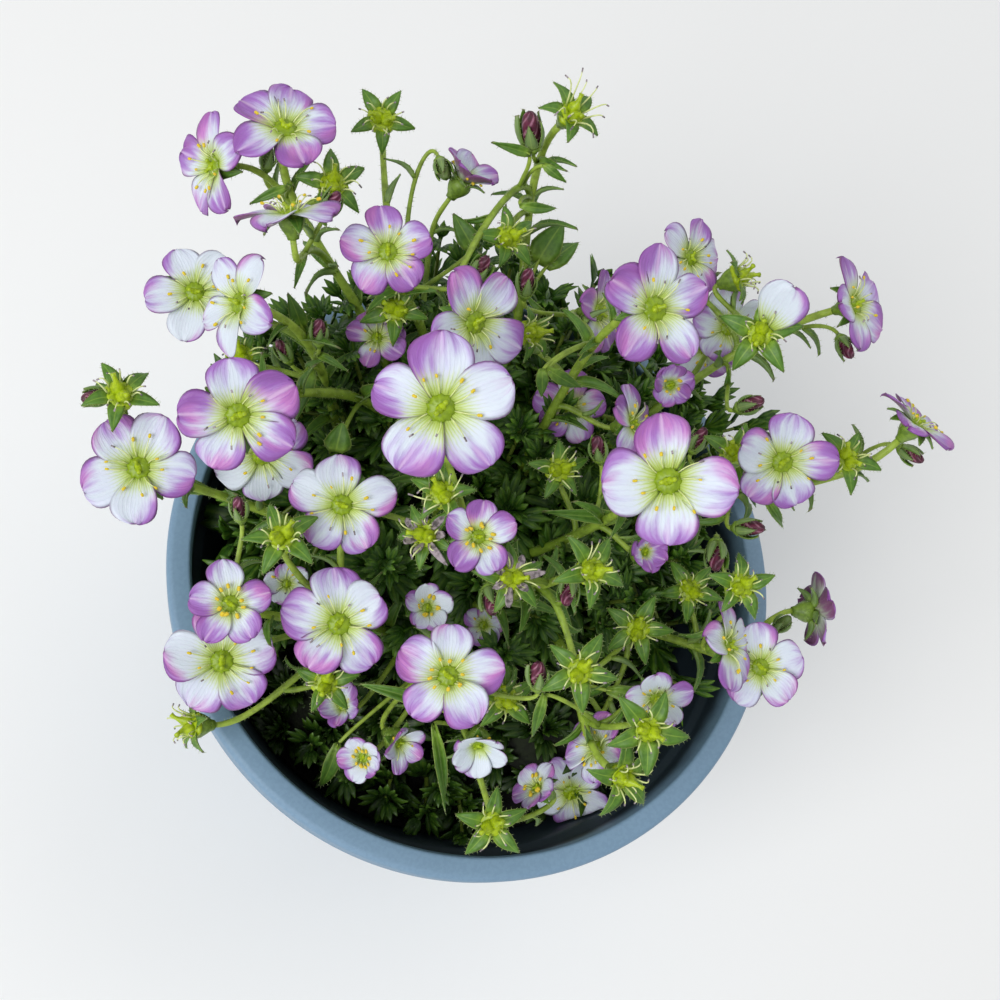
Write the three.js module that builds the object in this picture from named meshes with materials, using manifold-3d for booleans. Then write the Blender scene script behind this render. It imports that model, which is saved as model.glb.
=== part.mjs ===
// A mossy saxifrage in flower in a round grower's pot. Millimetres, +Z up, origin on the pot's axis at its
// foot. +X is the photograph's right and +Y its up, for an eye that looks straight down.
import * as THREE from "three";
import { mergeVertices } from "three/addons/utils/BufferGeometryUtils.js";
import Module from "manifold-3d";

const wasm = await Module();
wasm.setup();

// Pot: thin moulded plastic with a rolled lip, a collar, a stacking ledge and a flat foot.
const POT_HEIGHT = 80;
const POT_RADIUS = 55; // outside of the lip
const LIP_INNER = 50.6;
const LIP_FLAT = 53.8; // where the flat top of the lip turns down
const LIP_THICK = 1.5;
const LIP_SKIRT = 6.5; // how far the lip hangs down outside
const COLLAR_OUTER = 52;
const COLLAR_DEPTH = 10; // from the top down to the stacking ledge
const LEDGE_WIDTH = 1.8;
const WALL = 1.4;
const FOOT_RADIUS = 36.8;
const FLOOR = 3;
const PAD_RADIUS = 20; // flat middle of the foot
const CHANNEL_OUTER = 33; // outer side of the raised drainage channel
const CHANNEL_RISE = 1.4;
const DRAIN_HOLES = 8;
const DRAIN_RADIUS = 3.2;
const POT_SEGMENTS = 48;
const HOLE_SEGMENTS = 8;

// Growing medium and the leafy mat on it.
const COMPOST_TOP = 58;
const COMPOST_SEGMENTS = 32;
const CLEAR = 0.3; // gap between two pieces that touch
const CUSHIONS = [
  { name: "leaf_cushion_middle", centre: [-1, 13], radii: [40, 30], top: 91, lumps: 9 },
  { name: "leaf_cushion_left", centre: [-22, -25], radii: [12.5, 8], top: 70, lumps: 5 },
  { name: "leaf_cushion_right", centre: [18, -28], radii: [14, 8.5], top: 71, lumps: 5 },
];
const LUMP = 0.05; // how far the lumps stand out of a cushion's outline, as a share of its radius
const WAVE = 0.03; // the same for the three slower swells
const COMPOST_DIP = 2; // how far the compost sinks at the wall
const COMPOST_FLAT = 0.8; // where it starts to sink, as a share of the radius

// Flower stalks.
const STALK_RADIUS = 0.85;
const BRANCH_RADIUS = 0.65;
const STALK_SIDES = 6;
const STALK_STEPS = 9;
const BRANCH_STEPS = 6;
const RISE = 0.42; // how long a stalk keeps the direction it starts with, as a share of its length
const REACH = 0.3; // how long it keeps the direction of its flower
const OUTWARD = 0.35; // lean of a stalk at its root, away from the plant's middle
const FORKS = [1, 0.6, 0.5, 0.42]; // where branches b, c and d leave the stalk, 1 being its tip

// Flowers, as shares of the span across open petals.
const OVARY = 0.11; // radius
const OVARY_HEIGHT = 0.09;
const CUP = 0.1; // how far petal tips rise over their base
const PETAL_NOTCH = 0.42; // radius where two petals part
const PETAL_THICK = 0.7; // mm
const RECEPTACLE_DEPTH = 3.4; // mm, from the petals' base down to the stalk
const RECEPTACLE_RADIUS = 1.8; // mm
const WAIST_DEPTH = 0.85; // where the receptacle narrows to the stalk, as a share of its depth
const WAIST = 0.7; // its radius there, as a share of its full radius
const FULL = 1.4; // how soon a lobe's outline reaches its full radius beside its middle

// Spent flowers: five sepals and a swollen seed vessel.
const SEPAL_NOTCH = 0.36;
const VESSEL_RADIUS = 2.1; // mm
const VESSEL_HEIGHT = 2.6; // mm
const VESSEL_MOUTH = 0.6; // radius of its flat top, as a share of its radius

// The eye of the photograph, which is 1000 pixels square: its place over the middle of the rim, how far it
// looks away from straight down and towards which side, and its focal length in pixels.
const EYE = new THREE.Vector3(-51.4, -63, 217.9);
const EYE_TILT = THREE.MathUtils.degToRad(23);
const EYE_TURN = THREE.MathUtils.degToRad(54);
const FOCAL = 1300;
const MIDDLE = 500;

// Each stalk's root on the leafy mat, and its flowers. seen is the middle of a flower in the photograph, in
// pixels. height is over the rim and span is the real width, in mm. lean is how many degrees the flower
// turns right and up from facing the eye. turn is where one petal points, in degrees from the right. fork is
// how far up the stalk a branch leaves it, where that isn't the usual place.
const STALKS = [
  { root: [-10, 3], flowers: [
    { kind: "open", seen: [441, 408], height: 64, span: 19, lean: [0, 0], turn: 92 },
    { kind: "open", seen: [478, 537], height: 40, span: 12, lean: [8, 5], turn: 85 } ] },
  { root: [5, -1], flowers: [
    { kind: "open", seen: [668, 481], height: 62, span: 19, lean: [0, 0], turn: 90, petals: 4 },
    { kind: "open", seen: [782, 462], height: 48, span: 16.5, lean: [12, -8], turn: 82 } ] },
  { root: [4, 14], flowers: [
    { kind: "open", seen: [654, 309], height: 58, span: 19, lean: [30, 5], turn: 88 },
    { kind: "open", seen: [598, 312], height: 32, span: 16, lean: [58, 0], turn: 100 } ] },
  { root: [-19, 19], flowers: [
    { kind: "open", seen: [238, 415], height: 50, span: 17.3, lean: [3, -6], turn: 108 },
    { kind: "open", seen: [262, 455], height: 31, span: 16, lean: [8, -24], turn: 55 } ] },
  { root: [-27, 0], flowers: [
    { kind: "open", seen: [139, 468], height: 34, span: 16.8, lean: [-10, 5], turn: 58 },
    { kind: "spent", seen: [120, 394], height: 40, span: 11, lean: [0, 25], turn: 50 } ] },
  { root: [-18, 26], flowers: [
    { kind: "open", seen: [285, 129], height: 52, span: 16.5, lean: [5, 38], turn: 80 },
    { kind: "open", seen: [215, 166], height: 46, span: 16.5, lean: [-52, 0], turn: 80 },
    { kind: "open", seen: [290, 213], height: 56, span: 15.5, lean: [-8, 68], turn: 70 } ] },
  { root: [-27, 18], flowers: [
    { kind: "open", seen: [240, 303], height: 46, span: 15.5, lean: [-42, 12], turn: 40 },
    { kind: "open", seen: [195, 292], height: 38, span: 15, lean: [-5, 10], turn: 185 } ] },
  { root: [-12, 30], flowers: [
    { kind: "open", seen: [388, 252], height: 50, span: 14.5, lean: [0, 15], turn: 90 },
    { kind: "spent", seen: [382, 119], height: 40, span: 11, lean: [0, 10], turn: 54 } ] },
  { root: [2, 32], flowers: [
    { kind: "spent", seen: [572, 114], height: 50, span: 11, lean: [28, 25], turn: 110 },
    { kind: "open", seen: [474, 322], height: 50, span: 17.5, lean: [36, -8], turn: 130 } ] },
  { root: [20, 19], flowers: [
    { kind: "open", seen: [854, 305], height: 46, span: 16.5, lean: [52, 14], turn: 120 },
    { kind: "spent", seen: [760, 334], height: 54, span: 13, lean: [0, 5], turn: 80 } ] },
  { root: [26, 8], flowers: [
    { kind: "open", seen: [915, 424], height: 44, span: 15.5, lean: [48, 48], turn: 150 },
    { kind: "spent", seen: [847, 459], height: 43, span: 11, lean: [20, 15], turn: 60 } ] },
  { root: [22, -9], flowers: [
    { kind: "open", seen: [760, 667], height: 23, span: 15, lean: [12, 0], turn: 90 },
    { kind: "open", seen: [812, 611], height: 17, span: 15, lean: [100, 0], turn: 90 },
    { kind: "spent", seen: [741, 586], height: 34, span: 11, lean: [15, 5], turn: 80 } ] },
  { root: [-3, -9], flowers: [
    { kind: "spent", seen: [592, 570], height: 44, span: 11.5, lean: [22, 5], turn: 55 },
    { kind: "spent", seen: [580, 671], height: 37, span: 12, lean: [5, 0], turn: 60 } ] },
  { root: [10, -12], flowers: [
    { kind: "spent", seen: [623, 777], height: 28, span: 12.5, lean: [32, -22], turn: 20 },
    { kind: "spent", seen: [648, 730], height: 35, span: 13, lean: [10, -12], turn: 125 } ] },
  { root: [-7, -15], flowers: [
    { kind: "open", seen: [448, 676], height: 34, span: 16, lean: [0, 5], turn: 85 },
    { kind: "spent", seen: [492, 824], height: 14, span: 12, lean: [0, -10], turn: 90 } ] },
  { root: [-15, -13], flowers: [
    { kind: "open", seen: [230, 604], height: 33, span: 13.2, lean: [0, 4], turn: 92 },
    { kind: "open", seen: [222, 661], height: 17, span: 18, lean: [0, -6], turn: 90, fork: 0.3 },
    { kind: "spent", seen: [192, 725], height: 9, span: 10, lean: [-55, 0], turn: 90, fork: 0.2 } ] },
  { root: [-20, -7], flowers: [
    { kind: "open", seen: [339, 624], height: 30, span: 17, lean: [0, 0], turn: 100 },
    { kind: "open", seen: [342, 505], height: 36, span: 16, lean: [0, 0], turn: 90 },
    { kind: "spent", seen: [282, 537], height: 38, span: 11.5, lean: [0, 22], turn: 40 } ] },
];

// Colours.
const FINISH = {
  pot: { color: 0x6f8ca6, roughness: 0.55 },
  compost: { color: 0x241a12, roughness: 1 },
  cushion: { color: 0x35602c, roughness: 0.7 },
  stalk: { color: 0x7f9a35, roughness: 0.6 },
  open: { color: 0xe4d8ee, roughness: 0.6 },
  spent: { color: 0x7fa02c, roughness: 0.6 },
};

const UP = new THREE.Vector3(0, 0, 1);
const group = new THREE.Group();

function add(name, geometry, finish) {
  const mesh = new THREE.Mesh(geometry, new THREE.MeshStandardMaterial({ ...FINISH[finish], metalness: 0 }));
  mesh.name = name;
  group.add(mesh);
}

// Booleans.
function toSolid(geometry) {
  const bare = geometry.clone();
  bare.deleteAttribute("normal");
  bare.deleteAttribute("uv");
  const merged = mergeVertices(bare, 1e-3);
  return new wasm.Manifold(
    new wasm.Mesh({
      numProp: 3,
      vertProperties: merged.attributes.position.array,
      triVerts: new Uint32Array(merged.index.array),
    }),
  );
}

function toGeometry(solid) {
  const mesh = solid.getMesh();
  return new THREE.BufferGeometry()
    .setAttribute("position", new THREE.BufferAttribute(mesh.vertProperties, 3))
    .setIndex(new THREE.BufferAttribute(mesh.triVerts, 1));
}

// A profile of [radius, height] points turned round the Z axis.
function turned(profile, segments) {
  const points = profile.map(([radius, height]) => new THREE.Vector2(radius, height));
  return new THREE.LatheGeometry(points, segments).rotateX(Math.PI / 2);
}

// The sight line of the photograph and the picture's right and up, in the part's frame.
const sight = new THREE.Vector3(
  Math.sin(EYE_TILT) * Math.cos(EYE_TURN),
  Math.sin(EYE_TILT) * Math.sin(EYE_TURN),
  -Math.cos(EYE_TILT),
);
const right = new THREE.Vector3().crossVectors(sight, new THREE.Vector3(0, 1, 0)).normalize();
const above = new THREE.Vector3().crossVectors(right, sight);

// The place that shows at a pixel of the photograph and lies at a height over the rim.
function placeAt([across, down], height) {
  const ray = sight
    .clone()
    .addScaledVector(right, (across - MIDDLE) / FOCAL)
    .addScaledVector(above, (MIDDLE - down) / FOCAL);
  const place = EYE.clone().addScaledVector(ray, (height - EYE.z) / ray.z);
  return place.setZ(place.z + POT_HEIGHT);
}

// A flower's own axes: z is the way it faces, x the way one of its petals points.
function stanceOf(flower, place) {
  const eye = EYE.clone().setZ(EYE.z + POT_HEIGHT);
  const toEye = eye.sub(place).normalize();
  const [leanRight, leanUp] = flower.lean.map(THREE.MathUtils.degToRad);
  const lean = Math.hypot(leanRight, leanUp);
  const aside = new THREE.Vector3().addScaledVector(right, leanRight).addScaledVector(above, leanUp);
  const facing = toEye.multiplyScalar(Math.cos(lean));
  if (lean > 0) facing.addScaledVector(aside.normalize(), Math.sin(lean));
  facing.normalize();
  const turn = THREE.MathUtils.degToRad(flower.turn);
  const pointed = new THREE.Vector3()
    .addScaledVector(right, Math.cos(turn))
    .addScaledVector(above, Math.sin(turn));
  pointed.addScaledVector(facing, -pointed.dot(facing)).normalize();
  const across = new THREE.Vector3().crossVectors(facing, pointed);
  return new THREE.Matrix4().makeBasis(pointed, across, facing).setPosition(place);
}

// Pot.
function pot() {
  const ledge = POT_HEIGHT - COLLAR_DEPTH;
  const shoulder = POT_HEIGHT - LIP_THICK;
  const skirt = POT_HEIGHT - LIP_SKIRT;
  const shell = turned(
    [
      [0, 0],
      [PAD_RADIUS, 0],
      [PAD_RADIUS + CHANNEL_RISE, CHANNEL_RISE],
      [CHANNEL_OUTER - CHANNEL_RISE, CHANNEL_RISE],
      [CHANNEL_OUTER, 0],
      [FOOT_RADIUS, 0],
      [LIP_INNER - LEDGE_WIDTH + WALL, ledge - LEDGE_WIDTH],
      [COLLAR_OUTER, ledge],
      [COLLAR_OUTER, shoulder],
      [LIP_FLAT, shoulder],
      [LIP_FLAT, skirt],
      [POT_RADIUS, skirt],
      [POT_RADIUS, shoulder],
      [LIP_FLAT, POT_HEIGHT],
      [LIP_INNER, POT_HEIGHT],
      [LIP_INNER, ledge],
      [LIP_INNER - LEDGE_WIDTH, ledge - LEDGE_WIDTH],
      [FOOT_RADIUS - WALL, FLOOR],
      [0, FLOOR],
    ],
    POT_SEGMENTS,
  );
  const drill = new THREE.CylinderGeometry(DRAIN_RADIUS, DRAIN_RADIUS, 3 * FLOOR, HOLE_SEGMENTS);
  const hole = drill.rotateX(Math.PI / 2).translate((PAD_RADIUS + CHANNEL_OUTER) / 2, 0, 0);
  let solid = toSolid(shell);
  for (let i = 0; i < DRAIN_HOLES; i += 1) {
    solid = solid.subtract(toSolid(hole.clone().rotateZ((i / DRAIN_HOLES) * 2 * Math.PI)));
  }
  add("pot", toGeometry(solid), "pot");
}

// The radius of the pot's inside at a height below the ledge.
function insideAt(height) {
  const ledge = POT_HEIGHT - COLLAR_DEPTH - LEDGE_WIDTH;
  const share = (height - FLOOR) / (ledge - FLOOR);
  return THREE.MathUtils.lerp(FOOT_RADIUS - WALL, LIP_INNER - LEDGE_WIDTH, share);
}

// Compost: fills the pot below its surface, which sinks a little at the wall.
function compost() {
  const low = FLOOR + CLEAR;
  const edge = COMPOST_TOP - COMPOST_DIP;
  const profile = [
    [0, low],
    [insideAt(low) - 2 * CLEAR, low],
    [insideAt(edge) - 2 * CLEAR, edge],
    [insideAt(edge) * COMPOST_FLAT, COMPOST_TOP],
    [0, COMPOST_TOP],
  ];
  add("compost", turned(profile, COMPOST_SEGMENTS), "compost");
}

// A cushion of leaf rosettes: a low dome with a lumpy outline.
const DOME = [[0, 0], [0.96, 0], [1, 0.3], [0.86, 0.66], [0.5, 0.93], [0, 1]];
const CUSHION_SEGMENTS = 24;
const FOOT_PROBES = 12;

function cushion(spec) {
  const low = COMPOST_TOP + CLEAR;
  const geometry = turned(DOME, CUSHION_SEGMENTS);
  const place = geometry.attributes.position;
  for (let i = 0; i < place.count; i += 1) {
    const angle = Math.atan2(place.getY(i), place.getX(i));
    const bulge = 1 + LUMP * Math.cos(spec.lumps * angle) + WAVE * Math.sin(3 * angle);
    place.setXYZ(
      i,
      spec.centre[0] + place.getX(i) * bulge * spec.radii[0],
      spec.centre[1] + place.getY(i) * bulge * spec.radii[1],
      low + place.getZ(i) * (spec.top - low),
    );
  }
  add(spec.name, geometry, "cushion");
}

// The highest that the middle cushion reaches under a stalk's foot.
function matHeight(x, y) {
  const mat = group.getObjectByName(CUSHIONS[0].name);
  const down = new THREE.Raycaster(new THREE.Vector3(), UP.clone().negate());
  const heights = [];
  for (let i = 0; i < FOOT_PROBES; i += 1) {
    const angle = (i / FOOT_PROBES) * 2 * Math.PI;
    down.ray.origin.set(x + STALK_RADIUS * Math.cos(angle), y + STALK_RADIUS * Math.sin(angle), 2 * POT_HEIGHT);
    heights.push(down.intersectObject(mat)[0].point.z);
  }
  return Math.max(...heights);
}

// A head whose outline swells to a tip at each petal or sepal. Its profile runs from the stalk's end up
// round the tips to the middle, and edge says how much of the outline's shape a point follows.
function lobed(profile, lobes, notch, stance) {
  const perLobe = 3;
  const points = profile.map(({ radius, height }) => [radius, height]);
  const geometry = turned(points, lobes * perLobe).rotateZ(Math.PI / 2 + Math.PI / (lobes * perLobe));
  const place = geometry.attributes.position;
  const rings = profile.length;
  for (let i = 0; i < place.count; i += 1) {
    const { edge } = profile[i % rings];
    const angle = Math.atan2(place.getY(i), place.getX(i));
    const share = (1 + Math.cos(lobes * angle)) / 2;
    const swell = 1 - edge * (1 - notch) * (1 - Math.min(1, FULL * share));
    place.setX(i, place.getX(i) * swell);
    place.setY(i, place.getY(i) * swell);
  }
  return geometry.applyMatrix4(stance);
}

function openFlower(flower, stance) {
  const tip = flower.span / 2;
  const rise = CUP * flower.span;
  const profile = [
    { radius: 0, height: -RECEPTACLE_DEPTH, edge: 0 },
    { radius: RECEPTACLE_RADIUS * WAIST, height: -RECEPTACLE_DEPTH * WAIST_DEPTH, edge: 0 },
    { radius: RECEPTACLE_RADIUS, height: -PETAL_THICK, edge: 0 },
    { radius: tip, height: rise - PETAL_THICK / 2, edge: 1 },
    { radius: tip, height: rise + PETAL_THICK / 2, edge: 1 },
    { radius: OVARY * flower.span, height: PETAL_THICK / 2, edge: 0 },
    { radius: 0, height: OVARY_HEIGHT * flower.span, edge: 0 },
  ];
  return lobed(profile, flower.petals ?? 5, PETAL_NOTCH, stance);
}

function spentFlower(flower, stance) {
  const tip = flower.span / 2;
  const profile = [
    { radius: 0, height: -RECEPTACLE_DEPTH, edge: 0 },
    { radius: RECEPTACLE_RADIUS * WAIST, height: -RECEPTACLE_DEPTH * WAIST_DEPTH, edge: 0 },
    { radius: VESSEL_RADIUS, height: -PETAL_THICK, edge: 0 },
    { radius: tip, height: -PETAL_THICK / 2, edge: 1 },
    { radius: tip, height: PETAL_THICK / 2, edge: 1 },
    { radius: VESSEL_RADIUS, height: PETAL_THICK, edge: 0 },
    { radius: VESSEL_RADIUS * VESSEL_MOUTH, height: VESSEL_HEIGHT, edge: 0 },
    { radius: 0, height: VESSEL_HEIGHT, edge: 0 },
  ];
  return lobed(profile, 5, SEPAL_NOTCH, stance);
}

// A round stem along a curve.
function stem(curve, radius, steps) {
  const section = new THREE.Shape();
  for (let i = 0; i < STALK_SIDES; i += 1) {
    const angle = (i / STALK_SIDES) * 2 * Math.PI;
    section[i ? "lineTo" : "moveTo"](radius * Math.cos(angle), radius * Math.sin(angle));
  }
  return new THREE.ExtrudeGeometry(section, { steps, extrudePath: curve, bevelEnabled: false });
}

// The curve from a start, in a direction, to the underside of a flower.
function growth(from, heading, flower) {
  const facing = new THREE.Vector3().setFromMatrixColumn(flower.stance, 2);
  const end = new THREE.Vector3()
    .setFromMatrixPosition(flower.stance)
    .addScaledVector(facing, -RECEPTACLE_DEPTH - CLEAR);
  const length = from.distanceTo(end);
  return new THREE.CubicBezierCurve3(
    from,
    from.clone().addScaledVector(heading, RISE * length),
    end.clone().addScaledVector(facing, -REACH * length),
    end,
  );
}

function stalk(spec, number) {
  const name = String(number).padStart(2, "0");
  const flowers = spec.flowers.map((flower) => {
    const place = placeAt(flower.seen, flower.height);
    return { ...flower, stance: stanceOf(flower, place) };
  });
  const [x, y] = spec.root;
  const root = new THREE.Vector3(x, y, matHeight(x, y) + CLEAR);
  const heading = new THREE.Vector3(x, y, 0).setLength(OUTWARD).add(UP).normalize();
  const main = growth(root, heading, flowers[0]);
  let solid = toSolid(stem(main, STALK_RADIUS, STALK_STEPS));
  flowers.slice(1).forEach((flower, i) => {
    const fork = flower.fork ?? FORKS[i + 1];
    const branch = growth(main.getPoint(fork), main.getTangent(fork), flower);
    solid = solid.add(toSolid(stem(branch, BRANCH_RADIUS, BRANCH_STEPS)));
  });
  add(`flower_stalk_${name}`, toGeometry(solid), "stalk");
  flowers.forEach((flower, i) => {
    const shape = flower.kind === "open" ? openFlower : spentFlower;
    add(`${flower.kind}_flower_${name}${"abcd"[i]}`, shape(flower, flower.stance), flower.kind);
  });
}

pot();
compost();
CUSHIONS.forEach(cushion);
STALKS.forEach((spec, i) => stalk(spec, i + 1));

export default group;
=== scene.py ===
"""A mossy saxifrage in flower in its round grower's pot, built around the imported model.

Lengths in the plant's own code are millimetres, in the model's frame; MM turns them to metres.
"""

import functools
import math

import bpy
import numpy as np
from mathutils import Matrix, Vector
from mathutils.bvhtree import BVHTree


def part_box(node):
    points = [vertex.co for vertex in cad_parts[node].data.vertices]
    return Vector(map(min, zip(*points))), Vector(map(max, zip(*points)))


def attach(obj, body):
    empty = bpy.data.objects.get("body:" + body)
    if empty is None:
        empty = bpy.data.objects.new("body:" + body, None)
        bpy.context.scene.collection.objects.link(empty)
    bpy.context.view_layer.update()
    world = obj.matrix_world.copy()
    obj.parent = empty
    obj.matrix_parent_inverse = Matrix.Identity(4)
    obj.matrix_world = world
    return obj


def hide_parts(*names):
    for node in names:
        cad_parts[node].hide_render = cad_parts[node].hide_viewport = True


bl_info = {
    "name": "Potted mossy saxifrage",
    "version": (1, 0, 0),
    "blender": (4, 5, 0),
    "location": "3D View > Sidebar > Saxifrage",
    "description": "Builds petals, calyces, stalks, leaf rosettes, compost and pot around the packed model",
    "category": "Add Mesh",
}

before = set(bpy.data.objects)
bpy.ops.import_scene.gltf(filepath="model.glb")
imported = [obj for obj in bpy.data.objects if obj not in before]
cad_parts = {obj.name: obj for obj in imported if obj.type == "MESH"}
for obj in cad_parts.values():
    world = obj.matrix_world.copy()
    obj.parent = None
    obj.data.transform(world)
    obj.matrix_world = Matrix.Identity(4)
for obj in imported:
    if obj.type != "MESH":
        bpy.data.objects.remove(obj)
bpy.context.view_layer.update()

MM = 0.001
UP = np.array([0.0, 0.0, 1.0])
GOLDEN = math.pi * (3 - math.sqrt(5))  # the turn from one leaf to the next round a shoot
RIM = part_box("pot")[1].z / MM  # the rim's height
POT_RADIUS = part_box("pot")[1].x / MM
COLLAR_INSIDE = 50.6
COLLAR_DEPTH = 10  # from the rim down to the stacking ledge
POT_TAPER = 0.211  # how much wider the wall gets for each mm up
INSIDE_FOOT = 34.3  # the tapered wall's inside, carried down to the ground

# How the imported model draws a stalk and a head.
RECEPTACLE_DEPTH = 3.4  # from a head's foot up to where its petals leave
CLEAR = 0.3  # between a stem's end and its head
STALK_RADIUS = 0.85
BRANCH_RADIUS = 0.65
RISE = 0.42  # how far a stem keeps its first heading, as a share of its length
REACH = 0.3  # how far from its end it takes on the way its flower faces
OUTWARD = 0.35  # how far a stalk leans out of the mat, for each mm up
FORKS = {"b": 0.6, "c": 0.5}  # how far up the main stem each branch leaves it
LOW_FORKS = {"open_flower_16b": 0.3, "spent_flower_16c": 0.2}

# The eye of the photograph, which is 1000 pixels square: its place over the middle of the rim in mm, its
# tilt from straight down and towards which side, and its focal length in pixels.
PHOTO = 1000
FOCAL = 1300
EYE = np.array([-51.4, -63.0, 217.9 + RIM])
EYE_TILT = math.radians(23)
EYE_TURN = math.radians(54)


def round_pot(angle):
    """The level direction at an angle round the pot, or round a head in its own frame."""
    return np.array([math.cos(angle), math.sin(angle), 0])


def unit(vector):
    """A vector, or each row of an array, at length 1."""
    vector = np.asarray(vector, float)
    return vector / np.maximum(np.linalg.norm(vector, axis=-1, keepdims=True), 1e-9)


SIGHT = np.array([
    math.sin(EYE_TILT) * math.cos(EYE_TURN),
    math.sin(EYE_TILT) * math.sin(EYE_TURN),
    -math.cos(EYE_TILT),
])
RIGHT = unit(np.cross(SIGHT, [0, 1, 0]))
ABOVE = np.cross(RIGHT, SIGHT)


def place_at(pixel, height):
    """The place that shows at a pixel of the photograph and lies at a height over the rim."""
    ray = SIGHT + RIGHT * (pixel[0] - PHOTO / 2) / FOCAL + ABOVE * (PHOTO / 2 - pixel[1]) / FOCAL
    return EYE + ray * (height + RIM - EYE[2]) / ray[2]


def picture_way(degrees):
    """The way that points so in the picture, in degrees from its right."""
    return RIGHT * math.cos(math.radians(degrees)) + ABOVE * math.sin(math.radians(degrees))


def stance_of(looks):
    """A lesser head's place and axes: z is the way it faces and x the way one of its petals points."""
    place = place_at(looks["seen"], looks["height"])
    right, up = np.radians(looks["lean"])
    tilt = math.hypot(right, up)
    facing = unit(EYE - place) * math.cos(tilt)
    if tilt:
        facing = facing + unit(RIGHT * right + ABOVE * up) * math.sin(tilt)
    facing = unit(facing)
    pointed = picture_way(looks["turn"])
    pointed = unit(pointed - facing * (pointed @ facing))
    return Stance(place, pointed, facing)


class Stance:
    """Where a head sits, and its axes."""

    def __init__(self, centre, pointed, facing):
        self.centre = centre
        self.axes = np.array([pointed, np.cross(facing, pointed), facing])

    @property
    def facing(self):
        """The way the head looks."""
        return self.axes[2]

    def out(self, points):
        """Points of the head's own frame, in the model's frame."""
        return self.centre + np.asarray(points, float) @ self.axes


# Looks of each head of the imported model: lilac is how much of the petals is coloured, from 0 to 1, gold the
# share of stamens that still hold a fat anther, cup how far the petals close, in degrees, and slim how narrow
# they are. A petal left on a spent head has its way in the picture, in degrees, and its size; spray is how
# far its old stamens reach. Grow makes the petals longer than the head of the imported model.
HEADS = {
    "open_flower_01a": dict(lilac=0.5, grow=1.12),
    "open_flower_01b": dict(lilac=0.75, gold=1.0, cup=12),
    "open_flower_02a": dict(lilac=0.6),
    "open_flower_02b": dict(lilac=0.55),
    "open_flower_03a": dict(lilac=0.9, slim=0.5),
    "open_flower_03b": dict(lilac=1.0, slim=0.6),
    "open_flower_04a": dict(lilac=0.8),
    "open_flower_04b": dict(lilac=0.25),
    "open_flower_05a": dict(lilac=0.45),
    "open_flower_06a": dict(lilac=0.85),
    "open_flower_06b": dict(lilac=0.95, slim=0.5),
    "open_flower_06c": dict(lilac=0.5, cup=-12),
    "open_flower_07a": dict(lilac=0.2, slim=0.7),
    "open_flower_07b": dict(lilac=0.12, slim=0.4),
    "open_flower_08a": dict(lilac=0.85, slim=0.3),
    "open_flower_09b": dict(lilac=0.5),
    "open_flower_10a": dict(lilac=0.75),
    "open_flower_11a": dict(lilac=0.8),
    "open_flower_12a": dict(lilac=0.5),
    "open_flower_12b": dict(lilac=0.8),
    "open_flower_15a": dict(lilac=0.4, gold=1.0),
    "open_flower_16a": dict(lilac=0.6, gold=1.0, cup=4, slim=0.6),
    "open_flower_16b": dict(lilac=0.4),
    "open_flower_17a": dict(lilac=0.5),
    "open_flower_17b": dict(lilac=0.3),
    "spent_flower_09a": dict(spray=1.5),
    "spent_flower_10b": dict(petals=[(50, 0.88)]),
}

# Flowers that stand deeper or behind, placed by the pixel of the photograph and the height over the rim. Span
# is in mm; lean and turn are degrees: how far a flower leans to the right and up from facing the eye, and the
# way one petal points. Where the stem makes a bend of its own, that is placed by its pixel and height too.
LESSER_FLOWERS = [
    dict(seen=(728, 646), height=28, span=15, lean=(58, 8), turn=95, lilac=0.35),
    dict(seen=(690, 258), height=38, span=14, lean=(40, 10), turn=80, lilac=0.45),
    dict(seen=(728, 328), height=30, span=14, lean=(15, 0), turn=95, lilac=0.4),
    dict(seen=(706, 348), height=22, span=13, lean=(5, 5), turn=20, lilac=0.5),
    dict(seen=(670, 385), height=34, span=10, lean=(10, 0), turn=90, lilac=1.0, cup=45, gold=1.0),
    dict(seen=(632, 424), height=32, span=13, lean=(58, 10), turn=90, lilac=0.9),
    dict(seen=(644, 552), height=36, span=9, lean=(25, 0), turn=40, lilac=1.0, cup=50, gold=1.0),
    dict(seen=(427, 608), height=22, span=9, lean=(8, 5), turn=20, lilac=0.25, cup=22, gold=1.0),
    dict(seen=(364, 757), height=8, span=9, lean=(-20, -10), turn=250, lilac=0.3, gold=1.0, cup=22),
    dict(seen=(398, 742), height=10, span=10.5, lean=(35, -30), turn=30, lilac=0.4, cup=30, slim=1.0),
    dict(seen=(478, 744), height=20, span=10.5, lean=(0, -40), turn=270, lilac=0.1, cup=32),
    dict(seen=(538, 788), height=10, span=9.5, lean=(-45, 25), turn=60, lilac=0.6, gold=1.0, cup=10),
    dict(seen=(571, 792), height=-12, span=15, lean=(0, -30), turn=270, lilac=0.3),
    dict(seen=(597, 748), height=18, span=12.5, lean=(-45, 10), turn=55, lilac=0.75, gold=0.8),
    dict(seen=(656, 698), height=27, span=11.5, lean=(8, -28), turn=90, lilac=0.4, cup=12),
    dict(seen=(570, 408), height=22, span=13, lean=(0, 5), turn=80, lilac=0.8),
    dict(
        seen=(463, 180), height=38, span=12, lean=(38, 52), turn=60, lilac=0.7, cup=35, bend=((438, 215), 30)
    ),
    dict(seen=(484, 625), height=8, span=8.5, lean=(0, 0), turn=10, lilac=0.7, cup=25),
    dict(seen=(377, 338), height=28, span=10, lean=(0, 20), turn=100, lilac=0.9),
    dict(seen=(343, 706), height=2, span=9.5, lean=(-20, 10), turn=60, lilac=0.9, cup=35),
    dict(seen=(287, 584), height=6, span=8.5, lean=(0, 0), turn=30, lilac=0.1, cup=20),
]

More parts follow.
